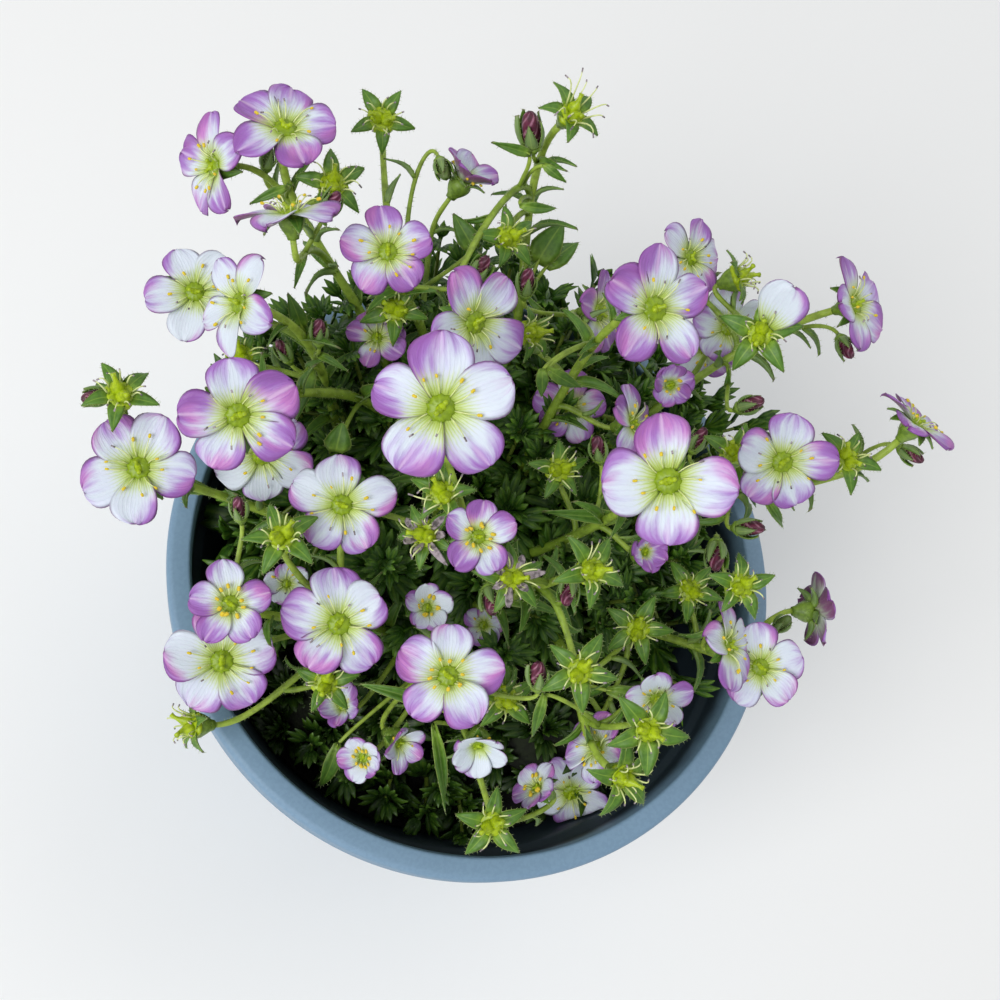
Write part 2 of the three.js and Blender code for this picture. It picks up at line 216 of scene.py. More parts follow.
# Smaller or hidden spent heads.
LESSER_SPENT = [
    dict(seen=(638, 629), height=20, span=12, lean=(0, 0), turn=70),
    dict(seen=(509, 238), height=40, span=11, lean=(20, 10), turn=30),
    dict(seen=(333, 184), height=44, span=11, lean=(5, 20), turn=100),
    dict(seen=(395, 310), height=32, span=11, lean=(0, 10), turn=60),
    dict(seen=(442, 493), height=40, span=10, lean=(-5, 10), turn=10, curly=True),
    dict(seen=(241, 356), height=28, span=9, lean=(0, 10), turn=0),
    dict(seen=(532, 333), height=38, span=9, lean=(35, 5), turn=110),
    dict(seen=(735, 455), height=42, span=11, lean=(15, 10), turn=75),
    dict(seen=(739, 277), height=40, span=10, lean=(65, 25), turn=100),
    dict(seen=(512, 578), height=38, span=11, lean=(10, 0), turn=100, withered=True),
    dict(seen=(426, 535), height=36, span=10, lean=(-20, 0), turn=40, withered=True),
    dict(seen=(326, 683), height=14, span=10, lean=(0, 0), turn=20),
    dict(seen=(505, 698), height=26, span=11, lean=(15, 0), turn=20),
    dict(seen=(690, 590), height=16, span=11, lean=(10, 5), turn=50),
    dict(seen=(560, 470), height=30, span=10, lean=(10, 10), turn=20),
]

# Buds: the pixel of the middle, the height over the rim, the length in mm and the way the tip points in the
# picture, in degrees from the right.
BUDS = [
    dict(seen=(531, 131), height=46, length=6.2, points=95),
    dict(seen=(481, 268), height=42, length=4.6, points=60),
    dict(seen=(527, 282), height=42, length=4.6, points=80),
    dict(seen=(268, 157), height=44, length=3.6, points=80, green=True),
    dict(seen=(846, 348), height=40, length=4.4, points=-60),
    dict(seen=(751, 404), height=40, length=4.6, points=20),
    dict(seen=(699, 439), height=38, length=4.4, points=60),
    dict(seen=(750, 528), height=30, length=5.0, points=0),
    dict(seen=(716, 556), height=28, length=5.4, points=-90),
    dict(seen=(568, 592), height=38, length=4.6, points=-100),
    dict(seen=(538, 675), height=34, length=4.8, points=90),
    dict(seen=(491, 601), height=32, length=4.8, points=-80),
    dict(seen=(239, 508), height=34, length=3.8, points=100),
    dict(seen=(319, 331), height=38, length=4.0, points=90),
    dict(seen=(283, 350), height=30, length=3.8, points=120),
    dict(seen=(332, 204), height=50, length=4.4, points=60),
    dict(seen=(95, 397), height=38, length=4.0, points=190),
    dict(seen=(783, 623), height=20, length=3.8, points=40, green=True),
    dict(seen=(912, 455), height=38, length=4.4, points=-30),
    dict(seen=(443, 170), height=40, length=4.2, points=-70, green=True, bend=((409, 186), 36)),
    dict(seen=(598, 448), height=34, length=4.4, points=100),
]


# Leaves that stand out: the pixel and the height over the rim of the foot and of the tip, and the width.
LONE_LEAVES = [
    dict(ends=[((622, 518), 30), ((544, 516), 31)], wide=2.7),
    dict(ends=[((426, 702), 26), ((361, 681), 27)], wide=2.4),
    dict(ends=[((433, 722), 25), ((448, 791), 12)], wide=2.2, droop=-0.2),
    dict(ends=[((545, 692), 28), ((533, 738), 22)], wide=2.0),
    dict(ends=[((762, 495), 42), ((787, 526), 36)], wide=1.8),
    dict(ends=[((288, 187), 46), ((248, 201), 44)], wide=1.8),
    dict(ends=[((531, 154), 44), ((492, 142), 45)], wide=2.0),
    dict(ends=[((543, 164), 43), ((566, 183), 42)], wide=1.8),
    dict(ends=[((519, 205), 40), ((556, 213), 38)], wide=2.1),
    dict(ends=[((542, 368), 47), ((543, 397), 44)], wide=2.2),
    dict(ends=[((546, 368), 47), ((580, 391), 43)], wide=2.4),
    dict(ends=[((537, 264), 26), ((560, 219), 30)], wide=6.0),
    dict(ends=[((545, 268), 26), ((575, 238), 27)], wide=4.5),
    dict(ends=[((336, 452), 28), ((341, 422), 31)], wide=4.8, shade=0.0),
    dict(ends=[((302, 328), 34), ((291, 293), 38)], wide=3.0),
    dict(ends=[((312, 368), 30), ((291, 418), 27)], wide=3.2),
    dict(ends=[((475, 250), 36), ((452, 214), 38)], wide=4.0),
    dict(ends=[((606, 690), 20), ((668, 700), 20)], wide=3.0, shade=0.3),
    dict(ends=[((338, 742), 2), ((326, 790), -6)], wide=3.0, shade=0.55),
]

# Tufts of leaves that face the eye; those deep in the pot are in shade.
TUFTS = [
    dict(seen=(388, 567), height=22, size=9),
    dict(seen=(300, 455), height=14, size=9),
    dict(seen=(566, 330), height=22, size=9),
    dict(seen=(600, 430), height=18, size=9),
    dict(seen=(636, 600), height=16, size=9),
    dict(seen=(462, 262), height=26, size=9),
    dict(seen=(345, 300), height=24, size=9),
    dict(seen=(680, 560), height=8, size=10),
    dict(seen=(505, 655), height=16, size=9),
    dict(seen=(700, 620), height=4, size=10),
    dict(seen=(262, 610), height=10, size=9),
    dict(seen=(296, 352), height=20, size=10),
    dict(seen=(272, 380), height=12, size=10),
    dict(seen=(322, 318), height=22, size=10),
    dict(seen=(352, 355), height=24, size=9),
    dict(seen=(330, 395), height=22, size=9),
    dict(seen=(375, 292), height=20, size=10),
    dict(seen=(420, 300), height=24, size=9),
    dict(seen=(410, 262), height=22, size=10),
    dict(seen=(545, 300), height=20, size=10),
    dict(seen=(590, 312), height=16, size=10),
    dict(seen=(640, 400), height=20, size=9),
    dict(seen=(690, 400), height=12, size=10),
    dict(seen=(715, 450), height=8, size=10),
    dict(seen=(520, 430), height=22, size=9),
    dict(seen=(610, 540), height=20, size=9),
    dict(seen=(296, 325), height=14, size=10),
    dict(seen=(276, 342), height=8, size=10),
    dict(seen=(440, 240), height=20, size=9),
    dict(seen=(480, 244), height=24, size=10),
    dict(seen=(512, 262), height=22, size=10),
    dict(seen=(655, 362), height=12, size=10),
    dict(seen=(622, 330), height=14, size=10),
    dict(seen=(735, 480), height=2, size=10),
    dict(seen=(425, 812), height=-14, size=10, shade=0.5),
    dict(seen=(386, 796), height=-12, size=10, shade=0.5),
    dict(seen=(346, 772), height=-10, size=10, shade=0.45),
    dict(seen=(462, 832), height=-15, size=9, shade=0.55),
    dict(seen=(440, 786), height=-12, size=9, shade=0.5),
    dict(seen=(312, 744), height=-10, size=9, shade=0.5),
]


def linear(colour):
    """An sRGB hex value as linear red, green and blue."""
    parts = [int(colour[i : i + 2], 16) / 255 for i in (0, 2, 4)]
    return tuple(c / 12.92 if c <= 0.04045 else ((c + 0.055) / 1.055) ** 2.4 for c in parts)


def colour_property(name, description, default):
    """A colour, given as an sRGB hex value."""
    return bpy.props.FloatVectorProperty(
        name=name, description=description, subtype="COLOR", size=3, min=0, max=1, default=linear(default)
    )


def length_property(name, description, default):
    """A length in metres, given in mm."""
    return bpy.props.FloatProperty(
        name=name, description=description, default=default * MM, min=0, unit="LENGTH", precision=5
    )


class PetalSettings(bpy.types.PropertyGroup):
    """Petals, ovary and stamens."""

    white: colour_property("White", "Middle of a petal", "D5DEE9")
    lilac: colour_property("Lilac", "Outer part of a petal", "A068BE")
    pink: colour_property("Pink", "Where the lilac turns warmer", "C272BE")
    rim: colour_property("Rim", "Thin line round a petal", "7C3288")
    base: colour_property("Base", "Foot of a petal and its veins there", "BCD046")
    reverse: colour_property("Reverse", "Tip of a petal from behind", "7A4268")
    ovary: colour_property("Ovary", "Ovary and seed vessel", "ACC312")
    filament: colour_property("Filament", "Stamen threads and styles", "E2EAA6")
    anther: colour_property("Anther", "Ripe anther", "E4CA3A")
    thickness: length_property("Thickness", "Of a petal in its middle", 0.22)
    vein_gap: length_property("Vein gap", "From one vein to the next across a petal", 0.55)


class GreenSettings(bpy.types.PropertyGroup):
    """Leaves, stalks and calyces."""

    leaf: colour_property("Leaf", "Upper side of a leaf", "355F12")
    leaf_tip: colour_property("Leaf tip", "Younger lobes and tips", "729E2A")
    stalk: colour_property("Stalk", "Lower part of a stalk", "789628")
    stalk_tip: colour_property("Stalk tip", "Upper part of a stalk", "A8C248")
    sepal: colour_property("Sepal", "Sepals and bracts", "557F24")
    sepal_edge: colour_property("Sepal edge", "Their pale hairy margins", "B8CC68")
    maroon: colour_property("Maroon", "Closed petals of a bud", "641A3A")
    withered: colour_property("Withered", "Dried petals on a spent head", "AA9DA2")
    leaf_length: length_property("Leaf length", "Of a full leaf with its stem", 14)
    hair_length: length_property("Hair length", "Gland hairs on stalks and calyces", 0.55)
    rosette_gap: length_property("Rosette gap", "From one rosette's middle to the next", 9.6)


class PotSettings(bpy.types.PropertyGroup):
    """Pot and compost."""

    plastic: colour_property("Plastic", "Moulded wall", "7795AE")
    # Darker than damp peat: partly the compost's own colour, partly painted shade of the deep pot.
    compost: colour_property("Compost", "Damp peat and bark", "0D0F08")
    lip_round: length_property("Lip rounding", "Radius of the lip's outer edge", 1.2)
    wall: length_property("Wall", "Thickness of the moulded wall", 1.4)
    crumb: length_property("Crumb", "Largest crumb of compost", 2.2)


class StageSettings(bpy.types.PropertyGroup):
    """Floor and light."""

    floor: colour_property("Floor", "Pale studio floor", "F4F4F3")
    key: bpy.props.FloatProperty(
        name="Key light", description="Power of the soft light", default=6, min=0, unit="POWER"
    )
    sky: bpy.props.FloatProperty(name="Sky", description="Strength of the even light", default=0.5, min=0)


SETTINGS = {
    "saxifrage_petal": PetalSettings,
    "saxifrage_green": GreenSettings,
    "saxifrage_pot": PotSettings,
    "saxifrage_stage": StageSettings,
}


def length_of(group, name):
    """A length of the settings, in mm."""
    return getattr(getattr(bpy.context.scene, group), name) / MM


# Solids.


def frames_along(path, hint):
    """Unit side and normal vectors of a path, turned along it without twist."""
    path = np.asarray(path, float)
    ahead = unit(np.gradient(path, axis=0))
    normals = np.empty_like(path)
    normal = np.asarray(hint, float)
    for i, tangent in enumerate(ahead):
        normal = normal - tangent * (normal @ tangent)
        if np.linalg.norm(normal) < 1e-4:
            normal = np.cross(tangent, [0.31, 0.87, 0.39])
        normal = unit(normal)
        normals[i] = normal
    return np.cross(ahead, normals), normals


def ring_faces(rings, sides):
    """Faces between rings of points, and from the first and the last ring to the two points after them."""
    ring = np.arange(sides)
    after = (ring + 1) % sides
    faces = []
    for low in range(0, (rings - 1) * sides, sides):
        faces += np.stack([ring + low, after + low, after + low + sides, ring + low + sides], 1).tolist()
    top = (rings - 1) * sides
    faces += [[after[i], i, rings * sides] for i in range(sides)]
    faces += [[i + top, after[i] + top, rings * sides + 1] for i in range(sides)]
    return faces


def loft(path, wide, high, section, hint=(0, 0, 1)):
    """A closed solid along a path: its section, [side, height] points round it, is scaled by wide and high
    at each point of the path and comes to a point at both ends. Gives points, faces and place: how far
    aside and along each point is, and 0."""
    path = np.asarray(path, float)
    section = np.asarray(section, float)
    rings, sides = len(path), len(section)
    side, normal = frames_along(path, hint)
    wide = np.broadcast_to(np.asarray(wide, float), (rings,))
    high = np.broadcast_to(np.asarray(high, float), (rings,))
    points = (
        path[:, None]
        + side[:, None] * (wide[:, None] * section[:, 0])[..., None]
        + normal[:, None] * (high[:, None] * section[:, 1])[..., None]
    ).reshape(-1, 3)
    along = np.linspace(0, 1, rings)
    place = np.zeros((rings, sides, 3))
    place[:, :, 0] = section[:, 0]
    place[:, :, 1] = along[:, None]
    points = np.vstack([points, path[:1], path[-1:]])
    place = np.vstack([place.reshape(-1, 3), [[0, 0, 0], [0, 1, 0]]])
    return points, ring_faces(rings, sides), place


def round_section(sides, ribs=0, relief=0.0):
    """Points round a circle of radius 1, with ribs that stand out by their relief."""
    turn = np.arange(sides) * 2 * math.pi / sides
    return np.stack([np.cos(turn), np.sin(turn)], 1) * (1 + relief * np.cos(ribs * turn))[:, None]


# A fleshy leaf lobe: grooved along the middle above, keeled below.
LOBE_SECTION = [(-1, 0), (0, -1), (1, 0), (0.55, 0.9), (0, 0.35), (-0.55, 0.9)]


def thin_sheet(grid, thickness, place):
    """A closed thin solid on a grid of points, rows along and columns across. Both faces meet at its
    edge. Gives points, faces and place: how far aside and along each point is, and 1 on the face below."""
    rows, columns = grid.shape[:2]
    along = np.gradient(grid, axis=0)
    across = np.gradient(grid, axis=1)
    normals = unit(np.cross(along, across))
    inner = np.zeros((rows, columns), bool)
    inner[1:-1, 1:-1] = True
    upper = grid + normals * (thickness / 2 * inner)[..., None]
    lower = (grid - normals * (thickness / 2 * inner)[..., None])[inner]
    index = np.arange(rows * columns).reshape(rows, columns)
    below = index.copy()
    below[inner] = rows * columns + np.arange(inner.sum())
    a, b, c, d = index[:-1, :-1], index[1:, :-1], index[1:, 1:], index[:-1, 1:]
    faces = np.stack([a, b, c, d], -1).reshape(-1, 4)
    a, b, c, d = below[:-1, :-1], below[1:, :-1], below[1:, 1:], below[:-1, 1:]
    backs = np.stack([d, c, b, a], -1).reshape(-1, 4)
    low_place = place[inner].copy()
    low_place[:, 2] = 1
    points = np.vstack([upper.reshape(-1, 3), lower])
    return points, np.vstack([faces, backs]).tolist(), np.vstack([place.reshape(-1, 3), low_place])


def rim_tint(place, start, share, seed):
    """The tint of a thin sheet: a share and a seed, the same all over, and how near its rim each point lies.
    Its tip counts as rim from start on."""
    edge = np.maximum(np.abs(place[:, 0]), np.clip((place[:, 1] - start) / (1 - start), 0, 1))
    return np.stack([np.full(len(edge), share), np.full(len(edge), seed), edge], 1)


LEAF_GAP = 0.4  # what the plant keeps from the pot, mm
LIP_DEPTH = 6  # how far below the rim a point may lie to be laid over the lip, mm
LOW_START = 3  # what starts deeper than this under the rim grows inside the pot, mm
OVERHANG = 20  # how far past the rim such growth is looked for, mm


def clear_of_pot(points):
    """Plant points moved off the pot: they lean on the inside of its wall, or lie over its lip. What starts
    below the lip stays inside the wall."""
    radius = np.linalg.norm(points[:, :2], axis=1)
    height = points[:, 2]
    inside = np.where(height > RIM - COLLAR_DEPTH, COLLAR_INSIDE, INSIDE_FOOT + POT_TAPER * height) - LEAF_GAP
    within = (height < RIM + LEAF_GAP) & (radius > inside)
    low_start = height[0] < RIM - LOW_START and radius[0] < POT_RADIUS
    over_wall = radius < POT_RADIUS + (OVERHANG if low_start else LEAF_GAP)
    on_lip = (radius > (COLLAR_INSIDE + POT_RADIUS) / 2) & (height > RIM - LIP_DEPTH)
    lip = within & on_lip & over_wall & (not low_start)
    inward = within & ~lip & over_wall
    moved = points.copy()
    moved[inward, :2] *= (inside[inward] / radius[inward])[:, None]
    moved[lip, 2] = RIM + LEAF_GAP
    return moved


class Piece:
    """Solids that make one piece, each with its finish and its tint."""

    def __init__(self, name, slot):
        self.name = name
        self.slot = slot
        self.points = []
        self.faces = []
        self.finish = []
        self.place = []
        self.tint = []
        self.count = 0

    def add(self, solid, finish, tint=(0, 0, 0)):
        """Adds a solid: points, faces and place. All but soil and litter is kept clear of the pot."""
        points, faces, place = solid
        self.points.append(points if finish in ("compost", "litter") else clear_of_pot(points))
        self.faces += [[i + self.count for i in face] for face in faces]
        self.finish += [finish] * len(faces)
        self.place.append(place)
        self.tint.append(np.broadcast_to(np.asarray(tint, float), (len(points), 3)))
        self.count += len(points)

    def add_hairs(self, roots, ways, lengths, thickness=0.045):
        """Fine gland hairs, each a slim three-sided spike."""
        roots, ways = np.asarray(roots, float), unit(ways)
        if not len(roots):
            return
        aside = unit(np.cross(ways, [0.3, 0.5, 0.81]))
        other = np.cross(ways, aside)
        corners = [
            roots + (aside * math.cos(a) + other * math.sin(a)) * thickness
            for a in (0, 2 * math.pi / 3, 4 * math.pi / 3)
        ]
        tips = roots + ways * np.broadcast_to(lengths, (len(roots),))[:, None]
        points = np.stack([*corners, tips], 1).reshape(-1, 3)
        first = np.arange(len(roots)) * 4
        turns = [(0, 1, 3), (1, 2, 3), (2, 0, 3), (2, 1, 0)]
        faces = np.vstack([np.stack([first + i for i in turn], 1) for turn in turns])
        self.add((points, faces.tolist(), np.zeros((len(points), 3))), "hair")

    def make(self, *replaced):
        """The piece as a Blender object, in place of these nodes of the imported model."""
        mesh = bpy.data.meshes.new(self.name)
        points = np.vstack(self.points) * MM
        mesh.from_pydata(points.tolist(), [], self.faces)
        for name, values in (("place", self.place), ("tint", self.tint)):
            attribute = mesh.attributes.new(name, "FLOAT_VECTOR", "POINT")
            attribute.data.foreach_set("vector", np.vstack(values).astype(np.float32).ravel())
        names = sorted(set(self.finish))
        for name in names:
            mesh.materials.append(finish_of(name))
        rank = {name: i for i, name in enumerate(names)}
        mesh.polygons.foreach_set("material_index", [rank[f] for f in self.finish])
        mesh.polygons.foreach_set("use_smooth", [True] * len(self.faces))
        mesh.update()
        return settle(bpy.data.objects.new(self.name, mesh), self.slot, *replaced)


def settle(made, slot, *replaced):
    """Links a piece, and says what it rides on and stands for. Its slot is not used."""
    bpy.context.scene.collection.objects.link(made)
    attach(made, "root")
    if replaced:
        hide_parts(*replaced)
    return made


# Finishes.


TIMES = {"operation": "MULTIPLY"}
PLUS = {"operation": "ADD"}
TIMES_PLUS = {"operation": "MULTIPLY_ADD"}
SMOOTH = {"interpolation_type": "SMOOTHSTEP"}


def add_node(tree, kind, *inputs, named=None, **settings):
    """Adds a node with its settings, and sets or links its inputs: those in use in their order, others by
    name. A node that is given as an input gives its first output in use."""
    made = tree.nodes.new("ShaderNode" + kind)
    for key, value in settings.items():
        setattr(made, key, value)
    pairs = list(zip([socket for socket in made.inputs if socket.enabled], inputs))
    pairs += [(made.inputs[key], value) for key, value in (named or {}).items()]
    for socket, value in pairs:
        if isinstance(value, bpy.types.Node):
            value = next(output for output in value.outputs if output.enabled)
        if isinstance(value, bpy.types.NodeSocket):
            tree.links.new(value, socket)
        elif socket.type == "RGBA":
            socket.default_value = (*(linear(value) if isinstance(value, str) else value), 1)
        else:
            socket.default_value = value
    return made


def scale_of(size):
    """The scale of a pattern whose grain has that size in mm on the object."""
    return 1 / (size * MM)


def new_finish(name):
    """An empty material, with what adds its nodes, and the place and the tint of the surface."""
    material = bpy.data.materials.new(name)
    material.use_nodes = True
    material.node_tree.nodes.clear()
    add = functools.partial(add_node, material.node_tree)
    parts = []
    for attribute in ("place", "tint"):
        read = add("Attribute", attribute_name=attribute, attribute_type="GEOMETRY")
        parts += add("SeparateXYZ", read.outputs["Vector"]).outputs
    return material, add, parts


def lay_colours(add, base, layers):
    """Lays colours over a base. Each comes after its share, which is a product of one or more factors."""
    for share, *factors, colour in layers:
        for factor in factors:
            share = add("Math", share, factor, **TIMES)
        base = add("Mix", share, base, colour, data_type="RGBA")
    return base


def close_finish(material, colour, roughness, relief=None, strength=0.35, depth=0.1, more=None):
    """Ends a finish with its shader. Relief raises the surface, by a depth in mm."""
    add = functools.partial(add_node, material.node_tree)
    inputs = {"Base Color": colour, "Roughness": roughness, **(more or {})}
    if relief is not None:
        inputs["Normal"] = add("Bump", named={"Height": relief, "Strength": strength, "Distance": depth * MM})
    add("OutputMaterial", add("BsdfPrincipled", named=inputs))
    return material


# A common petal, and what is drawn on it: the length of a streak of its wash, of its grain and of a patch of
# one tone, and how much narrower a streak is for its place. All lengths are in mm.
PETAL_WIDTH = 7
PETAL_LENGTH = 9
WASH_LENGTH = 6.92
GRAIN_LENGTH = 1.5
TONE_LENGTH = 10
NARROWING = 2.5


def petal_finish():
    """Living petal: soft, matt and thin, white with lilac washed in from its edges and its tip, in streaks
    that follow the veins. Veins run out of a green foot and a thin purple line follows the outer edge."""
    material, add, (across, along, under, lilac, seed, edge) = new_finish("petal_tissue")
    petal = bpy.context.scene.saxifrage_petal
    spot = add("CombineXYZ", across, along, seed)
    narrow = add("CombineXYZ", add("Math", across, NARROWING, **TIMES), along, seed)
    wash = add("TexNoise", narrow, PETAL_LENGTH / WASH_LENGTH, 3.0)
    grain = add("TexNoise", spot, PETAL_LENGTH / GRAIN_LENGTH, 3.0)
    tone = add("TexNoise", spot, PETAL_LENGTH / TONE_LENGTH, 1.0)
    # The wash reaches in from the tip and from the sides, and more from one side than from the other.
    inward = add("MapRange", along, 0.15, 0.65, **SMOOTH)
    sides = add("Math", add("Math", across, across, **TIMES), inward, **TIMES)
    lean = add("Math", add("Math", add("Math", seed, 1.7, **TIMES), operation="SINE"), across, **TIMES)
    reach = add("Math", lilac, 0.72, add("Math", wash, along, **PLUS), **TIMES_PLUS)
    reach = add("Math", add("Math", sides, lean, **PLUS), 0.42, reach, **TIMES_PLUS)
    washed = add("MapRange", reach, 1.36, 2.02, **SMOOTH)
    deep = add("MapRange", reach, 1.8, 2.35, **SMOOTH)
    veil = add("MapRange", add("Math", along, 0.3, wash, **TIMES_PLUS), 0.5, 0.9, **SMOOTH)
    # The veins are a wave across the petal that the grain bends.
    wave = PETAL_WIDTH * MM / petal.vein_gap * math.pi / 2
    swing = add("Math", grain, 3.0, add("Math", across, wave, **TIMES), **TIMES_PLUS)
    crest = add("Math", add("Math", swing, operation="COSINE"), operation="ABSOLUTE")
    veins = add("MapRange", crest, 0.75, 1.0, **SMOOTH)
    broken = add("Math", veins, add("MapRange", grain, 0.4, 0.6, **SMOOTH), **TIMES)
    outer = add("Math", broken, add("MapRange", along, 0.1, 0.5, **SMOOTH), **TIMES)
    coloured = add("Math", add("Math", washed, 0.12, **PLUS), 0.38, **TIMES)
    faint = add("Math", outer, coloured, **TIMES)
    middle = add("Math", across, operation="ABSOLUTE")
    foot = add("MapRange", add("Math", veins, -0.1, along, **TIMES_PLUS), 0.46, 0.03, **SMOOTH)
    hue = lay_colours(add, petal.lilac, [(add("MapRange", tone, 0.46, 0.68, **SMOOTH), petal.pink)])
    front = lay_colours(add, petal.white, [
        (veil, add("MapRange", lilac, 0.0, 0.6, **SMOOTH), 0.75, "BFBBE2"),
        (washed, 0.93, hue),
        (deep, 0.55, petal.rim),
        (faint, "9A5AB6"),
        (
            add("MapRange", middle, 0.16, 0.0, **SMOOTH),
            add("MapRange", along, 0.25, 0.55, **SMOOTH),
            washed, 0.38, "F1DDF0",
        ),
        (foot, 0.9, petal.base),
        (veins, add("MapRange", along, 0.4, 0.04, **SMOOTH), 0.35, "8EA02E"),
        (add("MapRange", along, 0.24, 0.02, **SMOOTH), 0.6, "93AC24"),
        (
            add("MapRange", edge, 0.9, 1.0, **SMOOTH),
            add("MapRange", reach, 1.0, 1.5, **SMOOTH),
            0.85, petal.rim,
        ),
    ])
    back = lay_colours(add, "B3BDA6", [
        (add("MapRange", reach, 1.2, 1.8, **SMOOTH), petal.reverse),
        (faint, "6B3A5C"),
    ])
    colour = lay_colours(add, front, [(under, 0.85, back)])
    relief = add("Math", veins, 0.3, add("Math", grain, 1.3, **TIMES), **TIMES_PLUS)
    return close_finish(material, colour, 0.5, relief, 0.6, 0.1, {
        "Subsurface Weight": 0.1,
        "Subsurface Radius": (1.0, 0.8, 0.9),
        "Subsurface Scale": 0.6 * MM,
        "Sheen Weight": 0.1,
    })


def stalk_finish():
    """Flower stalk: living, hairy, olive below to fresh green at the flowers, with a faint mottle."""
    material, add, (_, along, _, shade, _, _) = new_finish("hairy_stalk")
    green = bpy.context.scene.saxifrage_green
    grain = add("TexNoise", add("TexCoord").outputs["Object"], scale_of(1.5), 3.0)
    climb = add("Math", grain, 0.5, along, **TIMES_PLUS)
    colour = lay_colours(add, green.stalk, [
        (add("MapRange", climb, 0.25, 1.2, **SMOOTH), green.stalk_tip),
        (add("MapRange", grain, 0.62, 0.3, **SMOOTH), 0.3, "131C02"),
        (shade, 0.8, "131C02"),
    ])
    return close_finish(material, colour, 0.5, grain, 0.4, 0.15)


def leaf_finish():
    """Fleshy leaf: satin deep green, paler along the groove of each lobe and at its tip."""
    material, add, (across, along, _, shade, seed, _) = new_finish("leaf_flesh")
    green = bpy.context.scene.saxifrage_green
    grain = add("TexNoise", add("TexCoord").outputs["Object"], scale_of(1.5), 4.0)
    middle = add("Math", across, operation="ABSOLUTE")
    climb = add("Math", grain, 0.6, along, **TIMES_PLUS)
    colour = lay_colours(add, green.leaf, [
        (add("MapRange", climb, 0.7, 1.5, **SMOOTH), seed, green.leaf_tip),
        (add("MapRange", middle, 0.35, 0.0, **SMOOTH), 0.35, "8CAE3C"),
        (add("MapRange", grain, 0.65, 0.35, **SMOOTH), 0.4, "122C08"),
        (shade, 0.85, "071402"),
    ])
    return close_finish(material, colour, 0.45, grain, 0.35, 0.12, {"Specular IOR Level": 0.4})


def sepal_finish():
    """Hairy sepal or bract: mid green with a pale, almost see-through margin and a dark tip."""
    material, add, (across, along, under, shade, _, edge) = new_finish("hairy_sepal")
    green = bpy.context.scene.saxifrage_green
    grain = add("TexNoise", add("TexCoord").outputs["Object"], scale_of(0.8), 3.0)
    middle = add("Math", across, operation="ABSOLUTE")
    colour = lay_colours(add, green.sepal, [
        (add("MapRange", along, 0.45, 0.0, **SMOOTH), "8DB03A"),
        (add("MapRange", grain, 0.6, 0.35, **SMOOTH), 0.4, "2E5410"),
        (add("MapRange", middle, 0.12, 0.0, **SMOOTH), 0.4, "A8C44E"),
        (add("MapRange", edge, 0.86, 1.0, **SMOOTH), 0.6, green.sepal_edge),
        (add("MapRange", along, 0.93, 1.0, **SMOOTH), 0.7, "4A2A2C"),
        (under, 0.35, "A6B486"),
        (shade, 0.75, "101C0A"),
    ])
    return close_finish(material, colour, 0.5, grain, 0.35, 0.1)


def bud_finish():
    """Furled petals: silky maroon, with paler streaks where one petal laps over the next."""
    material, add, (across, along, _, shade, _, _) = new_finish("furled_petals")
    grain = add("TexNoise", add("TexCoord").outputs["Object"], scale_of(0.9), 3.0)
    swirl = add("Math", across, 2 * math.pi, add("Math", along, 3.5, **TIMES), **TIMES_PLUS)
    wave = add("Math", add("Math", swirl, 5, **TIMES), operation="SINE")
    colour = lay_colours(add, bpy.context.scene.saxifrage_green.maroon, [
        (add("MapRange", wave, 0.3, 1.0, **SMOOTH), 0.5, "C98FA8"),
        (add("MapRange", grain, 0.6, 0.35, **SMOOTH), 0.7, "34101E"),
        (add("MapRange", along, 0.3, 0.0, **SMOOTH), "7C8C50"),
        (add("MapRange", along, 0.8, 1.0, **SMOOTH), 0.5, "3F1026"),
        (shade, "55752C"),
    ])
    return close_finish(material, colour, 0.55)


def ovary_finish():
    """Ovary and seed vessel: plump, shiny yellow-green, and olive where it is shaded."""
    material, add, (_, _, _, shade, _, _) = new_finish("ovary_flesh")
    grain = add("TexNoise", add("TexCoord").outputs["Object"], scale_of(0.6), 3.0)
    colour = lay_colours(add, bpy.context.scene.saxifrage_petal.ovary, [
        (shade, "7C9808"),
        (add("MapRange", grain, 0.6, 0.35, **SMOOTH), 0.4, "56700C"),
    ])
    return close_finish(material, colour, 0.42, grain, 0.35, 0.08)


def grained_finish(name, colour, roughness, grain_mm, dark, share=0.5, bump=0.3):
    """A finish with one grain, of a size in mm, and no direction of its own."""
    material, add, _ = new_finish(name)
    grain = add("TexNoise", add("TexCoord").outputs["Object"], scale_of(grain_mm), 3.0)
    mixed = lay_colours(add, colour, [(add("MapRange", grain, 0.6, 0.35, **SMOOTH), share, dark)])
    return close_finish(material, mixed, roughness, grain, bump, grain_mm / 4)


def cup_finish():
    """Cup under a flower: ribbed, green with a yellow cast and softly shiny."""
    return grained_finish("hairy_cup", "7C9A34", 0.45, 0.9, "3F5A1C")


def filament_finish():
    """Stamen threads and styles: pale, translucent yellow-green."""
    colour = bpy.context.scene.saxifrage_petal.filament
    return grained_finish("stamen_thread", colour, 0.45, 1.2, "B4C25A")


def anther_finish():
    """Anthers dusted with gold pollen, powdery and matt."""
    colour = bpy.context.scene.saxifrage_petal.anther
    return grained_finish("pollen_anther", colour, 0.9, 0.25, "B08818", 0.3)


def withered_finish():
    """Petals dried on the plant: papery grey with dark creases."""
    colour = bpy.context.scene.saxifrage_green.withered
    return grained_finish("withered_petal", colour, 0.8, 0.8, "3A3634", 0.8)


def hair_finish():
    """Gland hairs: pale and silvery green."""
    return grained_finish("gland_hair", "B9CC8C", 0.5, 0.5, "7F9A58")


def litter_finish():
    """Old leaves inside the mat: dull brown-green."""
    return grained_finish("leaf_litter", "1C2410", 0.9, 1.8, "0A0A05", 0.8, 0.8)


